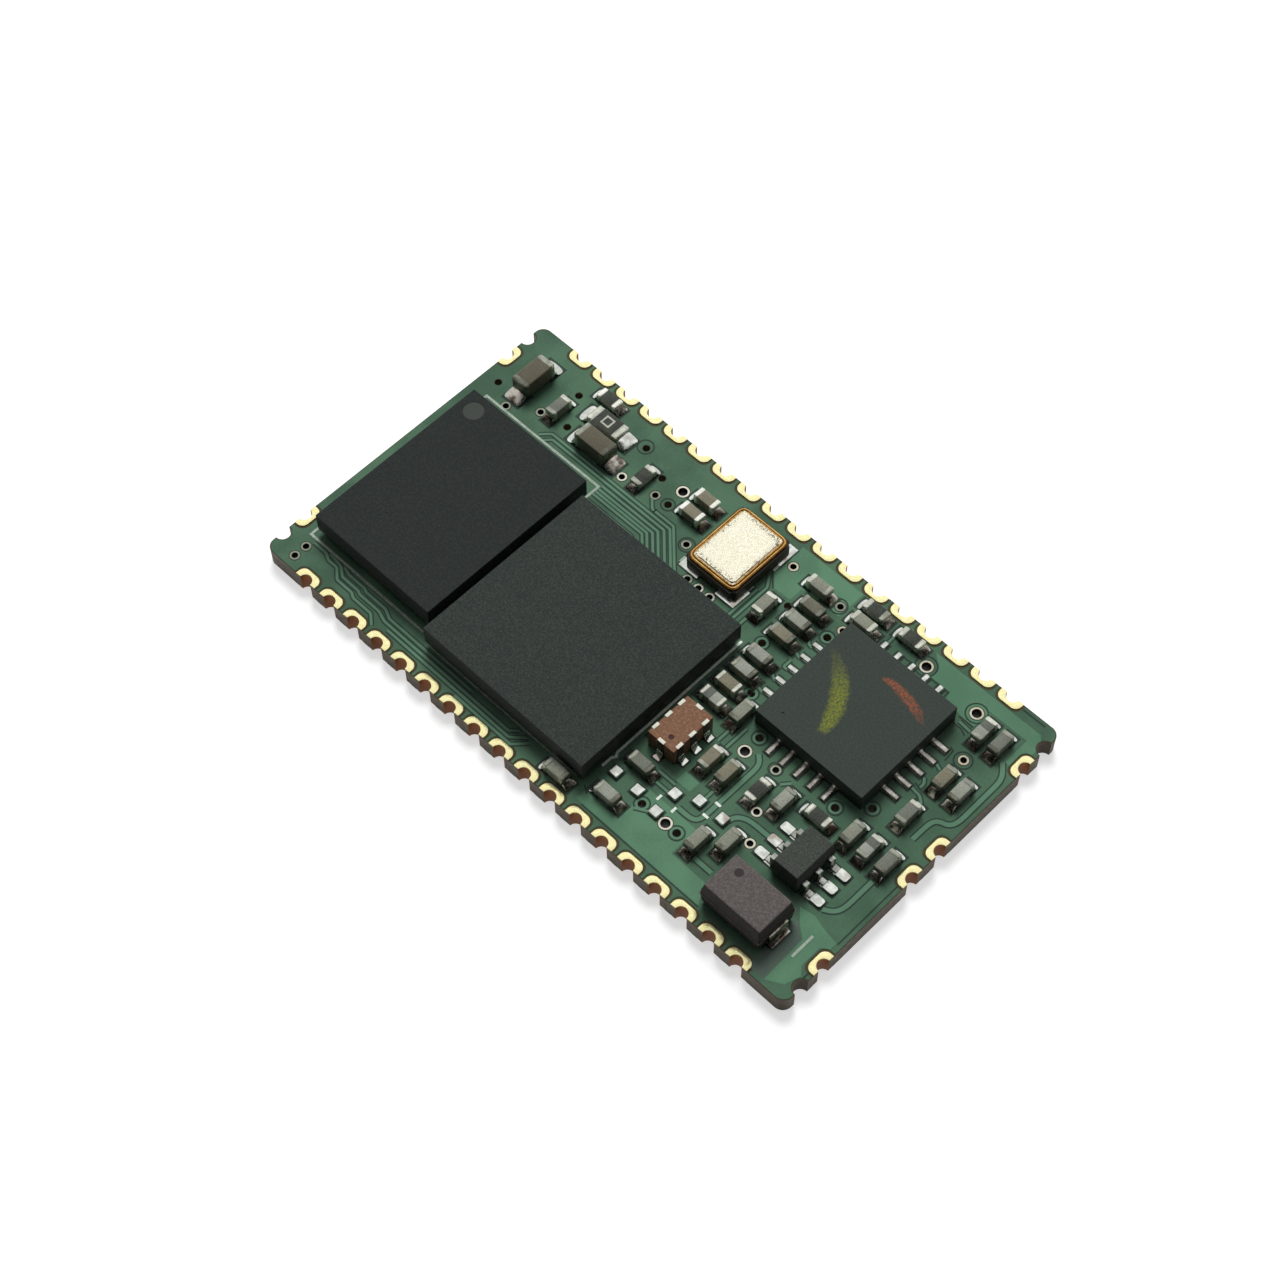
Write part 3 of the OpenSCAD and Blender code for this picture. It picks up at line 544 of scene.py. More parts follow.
def solderFinish():
    # bright and smooth, with a little brown flux here and there
    finish = Finish("brightSolder", Metallic=1.0)
    ripple = finish.noise(0.3, 2)
    fine = finish.noise(0.05, 2)
    colour = finish.blend(finish.fade(ripple, 0.35, 0.7), paint(196, 200, 192), paint(232, 236, 228))
    colour = finish.blend(finish.fade(finish.noise(0.8, 2), 0.55, 0.7) * 0.6, colour, paint(140, 112, 96))
    return finish.done(colour, finish.fade(fine, 0.3, 0.7, 0.14, 0.26), ripple + 0.15 * fine, 0.008, 0.5)


def shadedSolderFinish():
    # solder painted darker and browner: painted shade for solder where little light falls
    finish = Finish("solderPaintedShade", Metallic=1.0)
    ripple = finish.noise(0.35, 2)
    fine = finish.noise(0.06, 2)
    colour = finish.blend(finish.fade(ripple, 0.35, 0.65), paint(92, 82, 72), paint(190, 186, 176))
    return finish.done(colour, finish.fade(fine, 0.3, 0.7, 0.24, 0.38), ripple + 0.2 * fine, 0.01, 0.5)


# circuit board: laminate, green mask with its openings, gold contacts, vias

boardLook = {
    "rows": ["front_contacts", "rear_contacts", "antenna_contacts", "memory_end_contacts"],
    "maskThickness": 0.012, "maskInset": 0.03, "cornerRadius": 0.4, "notchRadius": 0.36, "notchInset": 0.85,
    "contactGap": 0.085, "contactRadius": 0.32, "contactRise": 0.01, "edgeBand": 0.2, "plateEdge": 0.018,
    "viaGap": 0.03, "viaEdge": 0.008, "holeGap": 0.02, "holeMost": 0.5, "holeFromEdge": 0.5, "sameHole": 0.1,
    # where a via's ring is dull and greenish
    "dullReach": 0.35,
    "dullVias": [
        (-11.25, 3.45), (-10.09, 4.17), (-4.3, 4.47), (-1.95, 3.7), (-0.88, 2.64), (3.91, 5.65),
        (-11.9, -6.12), (-11.9, -6.67), (6.8, -0.89),
    ],
}


def maskFinish(name, light, dark):
    finish = Finish(name, Specular_IOR_Level=0.3)
    cloud = finish.noise(2.2, 2)
    grain = finish.noise(0.12, 3)
    colour = finish.blend(finish.fade(cloud + 0.25 * grain, 0.45, 0.8), paint(*dark), paint(*light))
    specks = finish.fade(finish.cells(0.5), 0.06, 0.03)
    colour = finish.blend(specks * 0.3, colour, paint(130, 156, 132))
    return finish.done(colour, finish.fade(grain, 0.3, 0.7, 0.36, 0.48), cloud + 0.5 * grain, 0.006)


def laminateFinish():
    # brown glass laminate on the cut edges and in the mask's openings, green mask underneath
    finish = Finish("laminate")
    height = finish.axes()[2]
    fibre = finish.noise(0.05, 3, stretch=(0.2, 0.2, 1))
    layers = finish.fade(abs((height + 0.02) % 0.2 - 0.1), 0.02, 0.05)
    edge = finish.blend(finish.fade(fibre, 0.35, 0.7), paint(54, 52, 42), paint(92, 88, 72))
    edge = finish.blend(layers * 0.6, paint(98, 80, 57), edge)
    topside = finish.blend(finish.fade(fibre, 0.3, 0.7), paint(44, 42, 24), paint(70, 64, 38))
    below = finish.blend(finish.noise(1.5), paint(52, 88, 72), paint(74, 112, 90))
    up = finish.facing()
    colour = finish.blend(up > 0.5, finish.blend(up < -0.5, edge, below), topside)
    return finish.done(colour, finish.fade(fibre, 0.3, 0.7, 0.5, 0.75), fibre, 0.01)


def goldFinish():
    # bright plate on top, dull and coppery inside the half holes
    finish = Finish("contactGold", Metallic=0.6)
    wear = finish.noise(0.12, 3)
    wall = finish.fade(abs(finish.facing()), 0.6, 0.25)
    plate = finish.blend(finish.fade(wear, 0.4, 0.75), paint(250, 240, 174), paint(255, 250, 206))
    copper = finish.blend(wear, paint(101, 54, 22), paint(162, 98, 44))
    rough = finish.fade(wear, 0.3, 0.7, 0.26, 0.36) + wall * 0.25
    return finish.done(finish.blend(wall, plate, copper), rough, wear, 0.0015)


def viaFinish(name, colour, tint):
    # a tinned ring, with painted shade on the barrel wall down the hole
    finish = Finish(name, Metallic=0.7)
    wear = finish.noise(0.08, 3)
    wall = finish.fade(finish.facing(), 0.75, 0.45)
    patch = finish.fade(finish.noise(2.5, 1), 0.4, 0.6)
    ring = finish.blend(patch, paint(*colour), paint(*tint))
    colour = finish.blend(wall, ring, paint(30, 22, 18))
    return finish.done(colour, finish.fade(wear, 0.3, 0.7, 0.38, 0.55), wear, 0.006)


def contactCutter(low, high, gap):
    # an opening a little larger than the contact, with the contact's round inner corners
    boardLow, boardHigh = boxOf("circuit_board")
    low, high = low - gap, high + gap
    low[2], high[2] = boardTop - clear, boardTop + clear

    def inner(first, second):
        inX = min(first.x - boardLow.x, boardHigh.x - first.x)
        inY = min(first.y - boardLow.y, boardHigh.y - first.y)
        return upright(first, second) and min(inX, inY) > boardLook["edgeBand"]
    return roundEdges(block("cutter", low, high), inner, boardLook["contactRadius"], 5)


def makeBoard():
    look = boardLook
    low, high = boxOf("circuit_board")
    dress("circuit_board", laminateFinish())
    inset = Vector((look["maskInset"], look["maskInset"], 0))
    thick = Vector((0, 0, look["maskThickness"]))
    mask = block("SolderMask", low + inset + Vector((0, 0, boardTop)), high - inset + thick)
    roundEdges(mask, upright, look["cornerRadius"], 6)
    cutters = []
    for row in look["rows"]:
        for contact in solidsOf(row):
            if contact[1][2] > boardTop + look["contactRise"]:
                cutters.append(contactCutter(*contact, look["contactGap"]))

    def roundCutter(spot, radius, sides=24):
        cutters.append(disc("cutter", spot, radius, boardTop - clear, boardTop + clear, sides))
    plated = []
    for a, b in solidsOf("plated_vias"):
        plated.append(((a + b) / 2)[:2])
        roundCutter(plated[-1], (b[0] - a[0]) / 2 + look["viaGap"])
    covered = []
    for a, b in solidsOf("circuit_board", wallsOnly=True):
        spot, size = ((a + b) / 2)[:2], max(b[:2] - a[:2])
        inside = all(abs(spot[i]) < high[i] - look["holeFromEdge"] for i in (0, 1))
        if size < look["holeMost"] and inside and not isNear(spot, plated, look["sameHole"]):
            roundCutter(spot, size / 2 + look["holeGap"])
            covered.append((*spot, size / 2))
    for x in (low.x, high.x):
        for y in (low.y + look["notchInset"], high.y - look["notchInset"]):
            roundCutter((x, y), look["notchRadius"], 32)
    openings = joined(cutters, "openings")
    cut(mask, twin(openings, "cutter"))
    keep(shade(mask, 30), maskFinish("maskGreen", (74, 106, 83), (56, 84, 65)), "board")
    gold = goldFinish()
    for row in look["rows"]:
        keepCopy(row, look["plateEdge"], gold, "gold")
    vias = softCopy("plated_vias", "ViaRings", look["viaEdge"])
    painted(vias, viaFinish("viaTin", (200, 193, 170), (226, 224, 208)))
    paintFaces(vias, viaFinish("viaDull", (140, 147, 131), (170, 176, 160)),
               lambda middle, normal: isNear(middle, look["dullVias"], look["dullReach"]))
    keep(vias, None, "via_metal", "plated_vias")
    print("board, mask, contacts and vias made")
    return openings, covered


# what shows through the mask and on it: copper areas, tracks and their gaps, printed lines

drawing = {
    "pourRise": 0.002, "gapRise": 0.005, "trackRise": 0.009, "printRise": 0.012, "hair": 0.0001,
    "padsFrom": 2.6, "padWidth": 0.12, "padRing": 0.08, "gap": 0.055, "gapLine": 0.06, "printLine": 0.1,
    "fineTrack": 0.1, "fineTurn": 0.06, "track": 0.17, "trackTurn": 0.36,
    "bundleRows": [3.95, 3.76, 3.58, 3.38, 3.2, 3.05, 2.9, 2.56],
    "bundleTurns": [-2.85, -2.85, -2.98, -3.1, -3.2, -3.35, -3.45, -3.65],
    "bundleStart": -6.0, "bundleEnd": 2.3, "bundleTurn": 0.05, "firstLead": 1.0,
    "fineTracks": [
        # from the memory chip to the baseband chip, behind them
        [(-4.3, 4.3), (-3.95, 3.95), (-3.8, 3.95)], [(-9.4, 3.4), (-9.05, 3.76), (-6.0, 3.76)],
        [(-9.1, 3.3), (-8.85, 3.58), (-6.0, 3.58)],
        # the same in front of them
        [(-11.8, -5.8), (-11.15, -5.8), (-10.85, -5.95), (-10.4, -5.95), (-10.0, -6.3), (-9.2, -6.3),
         (-9.0, -6.42), (-8.05, -6.42), (-7.65, -6.75)],
        [(-11.0, -5.72), (-10.35, -5.8), (-9.95, -6.08), (-9.1, -6.08), (-8.95, -6.15), (-7.9, -6.15),
         (-7.45, -6.3), (-1.0, -6.3), (-0.7, -6.05)],
        [(-10.2, -5.75), (-9.85, -5.85), (-9.0, -5.85), (-8.85, -5.92), (-7.8, -5.92), (-7.4, -6.1),
         (-3.0, -6.1)],
        [(-7.1, -6.48), (-0.8, -6.48), (-0.3, -6.05)], [(-3.4, -6.64), (-0.55, -6.64), (-0.1, -6.15)],
        # beside the crystal and the column of small chips
        [(1.15, 4.85), (1.45, 4.4), (1.45, 2.3)], [(1.24, 4.1), (1.24, 2.3)], [(1.8, 2.95), (1.8, 2.3)],
        [(4.35, 3.67), (4.2, 3.67), (3.95, 3.9)], [(4.35, 3.02), (3.95, 3.15)], [(4.35, 1.72), (3.95, 1.92)],
        [(4.35, 1.07), (3.95, 1.15)], [(4.35, 2.37), (4.15, 2.37), (4.15, 2.75)],
        [(4.55, -0.5), (4.55, -1.45)], [(4.95, -0.4), (4.95, -1.45)], [(6.15, 6.45), (6.15, 5.6)],
        # supply corner
        [(3.9, -3.75), (4.7, -3.75)], [(3.95, -4.13), (4.75, -4.13)], [(5.82, -2.95), (5.82, -3.5)],
        [(4.3, -5.4), (4.75, -5.15)], [(7.55, -0.9), (7.3, -1.2)],
        # antenna end
        [(10.1, 5.05), (10.65, 5.0)], [(10.65, 3.2), (10.9, 3.1)],
        [(10.65, 1.9), (11.05, 1.85), (11.3, 1.65)],
        [(10.7, 2.5), (10.85, 2.3), (10.85, 2.1)],
    ],
    "tracks": [
        [(12.25, 4.85), (12.68, 4.35), (12.69, 1.95), (12.5, 1.65), (12.2, 1.58), (12.0, 1.35), (11.98, 0.4)],
        [(12.07, -1.7), (12.07, -3.15), (11.9, -3.5), (11.55, -3.7)],
        [(5.95, -0.85), (6.28, -1.15), (6.28, -4.1), (6.05, -4.33), (5.4, -4.33)],
        [(6.95, -3.6), (7.05, -3.2), (7.45, -2.96), (8.4, -2.95)],
        [(7.1, -5.33), (7.95, -5.33)],
    ],
    "gapLines": [
        [(2.9, -6.57), (8.5, -6.57)], [(12.8, -1.25), (12.8, -4.3)], [(12.8, -5.7), (12.8, -6.0)],
        [(1.15, 5.02), (1.62, 4.52)], [(9.95, 5.2), (10.6, 5.2)], [(10.0, 4.86), (10.35, 4.86), (10.6, 4.74)],
        [(10.55, 4.06), (10.72, 4.0), (10.76, 3.5)], [(10.62, 2.6), (10.78, 2.45)],
        [(10.6, 2.12), (11.0, 2.02)], [(6.95, 5.66), (9.05, 5.66), (9.05, 5.42)],
        [(11.4, 6.98), (12.4, 6.98)], [(2.45, -5.95), (2.75, -6.15)],
        [(-6.0, -6.78), (-5.3, -6.78)], [(-2.4, -6.78), (-1.7, -6.78)],
    ],
    "gapRings": [
        (7.78, 5.93, 0.42), (10.33, 5.72, 0.41), (11.22, 3.95, 0.34), (3.85, 5.63, 0.33), (-6.1, 5.8, 0.32),
        (-1.93, 3.7, 0.31), (-3.67, 4.5, 0.27), (6.78, -0.87, 0.27),
    ],
    "printLines": [
        [(-12.12, 3.15), (-12.12, 3.27), (-6.08, 3.27), (-6.08, 2.5)],
        [(-12.17, -5.15), (-12.17, -5.63), (-6.1, -5.63)], [(-5.5, -5.87), (2.0, -5.87)],
        [(1.05, 4.1), (1.05, 3.1)], [(-1.6, 3.3), (-1.6, 3.0)], [(12.0, -4.65), (12.0, -5.7)],
    ],
    # white print; the line beside the baseband chip is painted brighter than the other print, a painted
    # highlight that stays bright in the chip's shadow, and the line beside the crystal is painted as bright
    "whiteAndHighlightLines": [
        [(2.36, 2.1), (2.36, -4.25), (2.46, -4.4), (2.36, -4.55), (2.36, -5.0)],
        [(0.75, 6.33), (1.12, 6.33), (1.12, 5.1)],
        [(6.17, -3.27), (6.42, -3.27)], [(6.17, -3.9), (6.42, -3.9)], [(4.65, -4.37), (4.65, -4.62)],
        [(5.35, -4.37), (5.35, -4.62)],
    ],
    "pours": [
        [(2.6, -6.1), (4.2, -6.1), (4.2, -4.5), (6.45, -4.5), (6.45, -5.75), (8.05, -5.75), (8.45, -6.52),
         (2.6, -6.52)],
        [(1.2, 5.05), (1.66, 4.56), (2.4, 4.6), (2.4, 5.2), (3.6, 5.35), (4.15, 5.3), (4.15, 6.62),
         (1.2, 6.62)],
        [(7.65, 6.62), (8.2, 6.1), (8.2, 5.72), (9.1, 5.72), (9.15, 5.42), (10.0, 5.25), (10.6, 5.25),
         (10.6, 6.1), (12.3, 6.1), (12.3, 4.9), (12.8, 4.9), (12.8, 6.3), (12.5, 6.62)],
        [(10.95, -4.15), (11.55, -4.05), (12.1, -4.2), (12.74, -4.3), (12.74, -4.6), (12.45, -4.8),
         (12.45, -5.7), (12.7, -6.0), (12.5, -6.6), (11.88, -6.95), (11.83, -4.98), (11.35, -4.6)],
        [(4.6, -3.12), (5.25, -3.12), (5.25, -3.6), (4.6, -3.6)],
    ],
    "bareArea": [(11.15, -4.45), (11.3, -4.6), (11.8, -5.0), (11.85, -6.95), (11.15, -6.95)],
}


def makeDrawing(lands, openings, coveredHoles):
    art = drawing
    holes = [hole for hole in coveredHoles if hole[0] > art["padsFrom"]]
    pads = [circle(hole[:2], hole[2] + art["padWidth"] / 2) for hole in holes]
    padGaps = [circle(hole[:2], hole[2] + art["padWidth"] + art["gap"] / 2) for hole in holes]
    base = boardTop + boardLook["maskThickness"] / 2
    top = boardTop + boardLook["maskThickness"]
    copper = maskFinish("maskOverCopper", (88, 128, 100), (74, 112, 87))
    areas = plates("CopperAreas", art["pours"], base, top + art["pourRise"])
    keep(cut(areas, twin(openings, "cutter")), copper, "board")
    bare = maskFinish("maskOverLaminate", (82, 98, 88), (66, 80, 72))
    keep(plates("BareArea", [art["bareArea"]], base, top + art["pourRise"]), bare, "board")
    fine = [rounded(path, art["fineTurn"]) for path in art["fineTracks"]]
    for row, turn in zip(art["bundleRows"], art["bundleTurns"]):
        start = art["bundleStart"] if row < art["bundleRows"][0] else turn - art["firstLead"]
        end = (turn + row - art["bundleEnd"], art["bundleEnd"])
        fine.append(rounded([(start, row), (turn, row), end], art["bundleTurn"]))
    wide = [rounded(path, art["trackTurn"]) for path in art["tracks"]]
    rings = [circle(ring[:2], ring[2]) for ring in art["gapRings"]] + padGaps
    tops = [top + art["gapRise"] + art["hair"] * i for i in range(5)]
    gaps = [
        ribbons("fineGaps", fine, art["fineTrack"] + 2 * art["gap"], base, tops[0]),
        ribbons("trackGaps", wide, art["track"] + 2 * art["gap"], base, tops[1]),
        ribbons("gapLines", art["gapLines"], art["gapLine"], base, tops[2]),
        ribbons("gapRings", rings, art["gapLine"], base, tops[3]),
        plates("landGaps", lands, base, tops[4]),
    ]
    bpy.data.objects.remove(openings)
    keep(joined(gaps, "TrackGaps"), maskFinish("maskOverGaps", (42, 60, 50), (28, 44, 36)), "board")
    tops = [top + art["trackRise"] + art["hair"] * i for i in range(3)]
    tracks = [
        ribbons("fineTracks", fine, art["fineTrack"], base, tops[0]),
        ribbons("wideTracks", wide, art["track"], base, tops[1]),
        ribbons("holePads", pads, art["padRing"], base, tops[2]),
    ]
    keep(joined(tracks, "Tracks"), maskFinish("maskOverTracks", (90, 127, 102), (78, 113, 90)), "board")
    ink = ceramicFinish("legendInk", (136, 148, 136), (172, 184, 170), 0.09)
    printTop = top + art["printRise"]
    keep(ribbons("LegendLines", art["printLines"], art["printLine"], base, printTop), ink, "board")
    # white ink painted brighter than print: a painted highlight
    white = ceramicFinish("whiteInkHighlight", (214, 222, 212), (240, 246, 238), 0.09)
    keep(ribbons("WhiteAndHighlightLines", art["whiteAndHighlightLines"], art["printLine"], base, printTop), white, "board")
    print("tracks, copper areas and printed lines made")


# the three large chips

chipLook = {
    "edge": 0.025, "dotRadius": 0.42, "dotDepth": 0.012, "dotInset": 0.72, "pinDotRadius": 0.07,
    "pinDot": (0.8, 0.55),
    "greenStroke": {"start": (5.2, 3.75), "end": (7.25, 0.85), "bow": 0.45, "width": 0.42,
                    "faint": (0.05, 0.55, 0.2, 1.0)},
    "orangeStroke": {"start": (7.25, 4.1), "end": (9.6, 3.6), "bow": 0.2, "width": 0.26,
                     "faint": (1.0, 0.55, 0.25, 1.0)},
}


def chipCase(node, name):
    return roundEdges(block(name, *boxOf(node)), everyEdge, chipLook["edge"], 3)


def memoryFinish(spot):
    # the moulded dot beside the first ball is smoother and paler than the rest
    finish, body, rough, height, depth = mouldFinish("memoryMould", (37, 41, 40), (48, 52, 50), 0.09, 0.004)
    body = finish.blend(finish.dot(spot, chipLook["dotRadius"]), body, paint(66, 70, 67))
    return finish.done(body, rough, height, depth)


def radioFinish():
    # two felt-pen strokes on the front-end chip's top
    finish, body, rough, height, depth = mouldFinish("radioMould", (56, 62, 58), (65, 71, 66), 0.08, 0.004)
    x, y = finish.axes()[:2]
    ragged = finish.noise(0.22, 3)
    streaks = finish.noise(0.06, 3, 0.7, stretch=(1.0, 0.5, 1.0))

    def stroke(start, end, bow, width, faint):
        # nearness to a bowed line between two spots, worked out in the chip's own plane
        way = Vector(end) - Vector(start)
        run = ((x - start[0]) * way.x + (y - start[1]) * way.y) / way.length_squared
        off = ((y - start[1]) * way.x - (x - start[0]) * way.y) / way.length
        off = abs(off - 4 * bow * run * (1 - run)) + 0.25 * (ragged - 0.5)
        swell = finish.fade(abs(run - 0.55), 0.6, 0.15, 0.45, 1.0)
        ends = finish.fade(abs(run - 0.5) + 0.2 * (ragged - 0.5), 0.52, 0.4)
        worn = finish.fade(run, *faint)
        nearness = finish.fade(off / swell, width, width * 0.4)
        return nearness * ends * worn * finish.fade(streaks, 0.34, 0.68, 0.15, 1.0)
    top = finish.onTop()
    body = finish.blend(stroke(**chipLook["greenStroke"]) * top * 0.8, body, paint(138, 146, 48))
    body = finish.blend(stroke(**chipLook["orangeStroke"]) * top * 0.75, body, paint(166, 92, 62))
    return finish.done(body, rough, height, depth)


def makeChips():
    look = chipLook
    low, high = boxOf("memory_case")
    spot = (low.x + look["dotInset"], high.y - look["dotInset"])
    case = chipCase("memory_case", "MemoryCase")
    pressDot(case, spot, look["dotRadius"], look["dotDepth"], high.z, 48)
    keep(shade(case), memoryFinish(spot), "memory_mould", "memory_case")
    speckled = plainMould("basebandMould", (42, 48, 46), (64, 69, 65), 0.055, 0.01)
    keep(shade(chipCase("baseband_case", "BasebandCase")), speckled, "baseband_mould", "baseband_case")
    low, high = boxOf("radio_case")
    spot = (low.x + look["pinDot"][0], low.y + look["pinDot"][1])
    case = merged("radio_case", "RadioCase")
    pressDot(case, spot, look["pinDotRadius"], look["dotDepth"], high.z, 16)
    roundEdges(case, outerEdge(low, high), look["edge"], 2)
    keep(shade(case), radioFinish(), "radio_mould", "radio_case")
    substrate = ceramicFinish("chipSubstrate", (20, 28, 22), (36, 44, 34))
    balls = metalFinish("ballSolder", (190, 192, 188), (220, 222, 218), 0.35)
    for chip in ("memory", "baseband"):
        node = chip + "_substrate"
        keep(shade(chipCase(node, titled(node))), substrate, "substrate", node)
        dress(chip + "_balls", balls)
    print("large chips made")


# front-end chip's terminals and solder

barLook = {"height": 0.17, "share": 0.48, "drop": 0.75, "paddleFrom": 2.0, "paddleEdge": 0.01}


def barModel(length, width):
    # a rounded bar of solder, highest where it climbs the chip's side
    look = barLook
    bar = block("bar", (0, -width / 2, 0), (length, width / 2, look["height"]))
    pickFaces(bar, lambda middle, normal: normal.x > 0.9)
    bpy.ops.transform.resize(value=(1, 1, look["drop"]), center_override=(0, 0, 0))

    def lengthwise(first, second):
        return min(first.z, second.z) > touching and abs(first.x - second.x) > touching
    return shade(roundEdges(editDone(bar), lengthwise, width * look["share"], 5), 60)


def makeRadioSolder(solder):
    look = barLook
    low, high = boxOf("radio_case")
    pieces, near, far = [], [], []
    # darker solder: painted shade for the near bars and the paddle
    shadedBarSolder = metalFinish("barSolderPaintedShade", (164, 160, 151), (210, 207, 198), 0.3, depth=0.006)
    for a, b in solidsOf("radio_solder"):
        size = (b - a)[:2]
        if max(size) > look["paddleFrom"]:
            pieces.append(painted(soften(block("paddleSolder", a, b), look["paddleEdge"]), shadedBarSolder))
            continue
        length, width = max(size), min(size)
        x, y = (a + b)[:2] / 2
        if size[0] > size[1]:
            turn = along if x > (low.x + high.x) / 2 else along + math.pi
        else:
            turn = across if y > (low.y + high.y) / 2 else across + math.pi
        chosen = far if isFar(turn) else near
        chosen.append((x - math.cos(turn) * length / 2, y - math.sin(turn) * length / 2, a[2], turn))
    # the bars on the near sides and the paddle get a darker solder, painted shade; the bars on the far sides
    # get the bright solder
    pieces.append(painted(copies(barModel(length, width), near, "bars"), shadedBarSolder))
    pieces.append(painted(copies(barModel(length, width), far, "bars"), solder))
    keep(joined(pieces, "RadioSolder"), None, "solder", "radio_solder")
    tin = metalFinish("leadTin", (150, 152, 146), (196, 198, 190), 0.3)
    for node in ("radio_terminals", "radio_paddle"):
        dress(node, tin)
    print("front-end solder made")
    return tin


# crystal

crystalLook = {
    "baseEdge": 0.025, "ringEdge": 0.03, "solderEdge": 0.012,
    "beadWidth": 0.05, "beadRise": 0.035, "beadRoot": 0.02, "beadInset": 0.06, "beadEdge": 0.015,
    "flange": 0.09, "flangeRadius": 0.28, "flangeEdge": 0.018, "step": 0.05,
    "crownLift": 0.03, "crownRadius": 0.2, "crownEdge": 0.05,
}


def lidFinish(middle, half):
    # pale gold plate, scuffed along its border, browner on the flange
    finish = Finish("lidGold", Metallic=0.6)
    x, y = finish.axes()[:2]
    grain = finish.noise(0.08, 4)
    reach = abs(x - middle.x) / half.x
    border = reach.maths("MAXIMUM", reach, abs(y - middle.y) / half.y)
    scuffs = finish.fade(finish.noise(0.08, 2, 0.7), 0.52, 0.6) * finish.fade(border, 0.8, 0.93)
    colour = finish.blend(finish.fade(grain, 0.35, 0.7), paint(236, 230, 204), paint(248, 245, 226))
    colour = finish.blend(finish.fade(border, 1.0, 1.04), colour, paint(186, 140, 70))
    colour = finish.blend(scuffs * 0.85, colour, paint(92, 76, 48))
    return finish.done(colour, finish.fade(grain, 0.3, 0.7, 0.2, 0.34) + scuffs * 0.25, grain, 0.006)


def makeCrystal(solder):
    look = crystalLook
    keepCopy("crystal_base", look["baseEdge"], ceramicFinish("crystalCeramic", (30, 26, 22), (50, 43, 36)),
             "dark_ceramic")
    # seal ring with a bright bead of braze along its middle
    low, high = boxOf("crystal_seal_ring")
    ring = softCopy("crystal_seal_ring", "CrystalSealRing", look["ringEdge"], 3)
    inset = Vector((look["beadInset"], look["beadInset"], 0))
    a, b = low + inset, high - inset
    outline = [(a.x, (a.y + b.y) / 2), (a.x, b.y), (b.x, b.y), (b.x, a.y), (a.x, a.y), (a.x, (a.y + b.y) / 2)]
    bead = ribbons("bead", [rounded(outline, look["flangeRadius"])], look["beadWidth"],
                   high.z - look["beadRoot"], high.z + look["beadRise"])
    painted(soften(bead, look["beadEdge"]), metalFinish("brazeGold", (214, 170, 96), (244, 208, 138), 0.26))
    painted(ring, metalFinish("sealGold", (122, 82, 36), (176, 128, 62), 0.32))
    keep(joined([ring, bead], "CrystalSealRing"), None, "seal_metal", "crystal_seal_ring")
    # lid: a thin flange brazed to the ring, with a crown pressed up inside it
    low, high = boxOf("crystal_lid")
    flange = block("flange", low, Vector((high.x, high.y, high.z - look["step"])))
    roundEdges(flange, upright, look["flangeRadius"], 6)
    soften(flange, look["flangeEdge"], 2)
    inset = Vector((look["flange"], look["flange"], 0))
    crown = block("crown", low + inset + Vector((0, 0, look["crownLift"])), high - inset)
    roundEdges(crown, upright, look["crownRadius"], 6)
    soften(crown, look["crownEdge"], 3)
    half = (high - low) / 2 - inset
    keep(joined([flange, crown], "CrystalLid"), lidFinish((low + high) / 2, half), "lid_metal", "crystal_lid")
    keepCopy("crystal_solder", look["solderEdge"], solder, "solder")
    print("crystal made")


# band filter

filterLook = {
    "edge": 0.03, "bandEdge": 0.008, "solderEdge": 0.012,
    "dot": (0.6, 0.2), "dotRadius": 0.1, "dotDepth": 0.02, "dotStain": 0.12,
}


def makeFilter(solder):
    look = filterLook
    low, high = boxOf("filter_body")
    spot = spotIn(low, high, look["dot"])
    body = roundEdges(block("FilterBody", low, high), everyEdge, look["edge"], 2)
    pressDot(body, spot, look["dotRadius"], look["dotDepth"], high.z, 20)
    finish = Finish("filterCeramic", Specular_IOR_Level=0.3)
    fine = finish.noise(0.09, 3)
    colour = finish.blend(finish.fade(fine, 0.4, 0.7), paint(112, 80, 60), paint(138, 105, 82))
    colour = finish.blend(finish.dot(spot, look["dotStain"]), colour, paint(62, 40, 34))
    keep(shade(body), finish.done(colour, finish.fade(fine, 0.3, 0.7, 0.45, 0.6), fine, 0.006),
         "brown_ceramic", "filter_body")
    # silver wraps, bright on top, with painted shade where they run down the sides
    finish = Finish("filterSilverSideShade", Metallic=0.6)
    fine = finish.noise(0.06, 3)
    bright = finish.blend(fine, paint(206, 204, 188), paint(240, 238, 224))
    colour = finish.blend(finish.fade(finish.facing(), 0.3, 0.7), paint(74, 58, 48), bright)
    silver = finish.done(colour, finish.fade(fine, 0.3, 0.7, 0.35, 0.5), fine, 0.006)
    keepCopy("filter_bands", look["bandEdge"], silver, "end_metal")
    keepCopy("filter_solder", look["solderEdge"], solder, "solder")
    print("filter made")


# regulator and moulded capacitor

regulatorLook = {"edge": 0.03, "leadEdge": 0.02, "toeHeight": 0.12, "toeRadius": 0.1, "toeEdge": 0.05}

bulkLook = {
    "edge": 0.06, "leadEdge": 0.025, "dot": (0.235, 0.69), "dotRadius": 0.18,
    "seamWidth": 0.03, "seamHeight": 0.04,
}


def makeRegulator(solder, tin):
    look = regulatorLook
    mould = plainMould("regulatorMould", (58, 62, 57), (76, 81, 75), 0.07, 0.008)
    keepCopy("regulator_case", look["edge"], mould, "regulator_mould")
    keepCopy("regulator_leads", look["leadEdge"], tin, "tin")

    def toeCorner(first, second):
        # the solder in front of each lead has round corners
        return upright(first, second) and abs(first.z - second.z) > look["toeHeight"]
    toes = roundEdges(merged("regulator_solder", "RegulatorSolder"), toeCorner, look["toeRadius"], 4)
    keep(soften(toes, look["toeEdge"], 3), solder, "solder", "regulator_solder")
    print("regulator made")


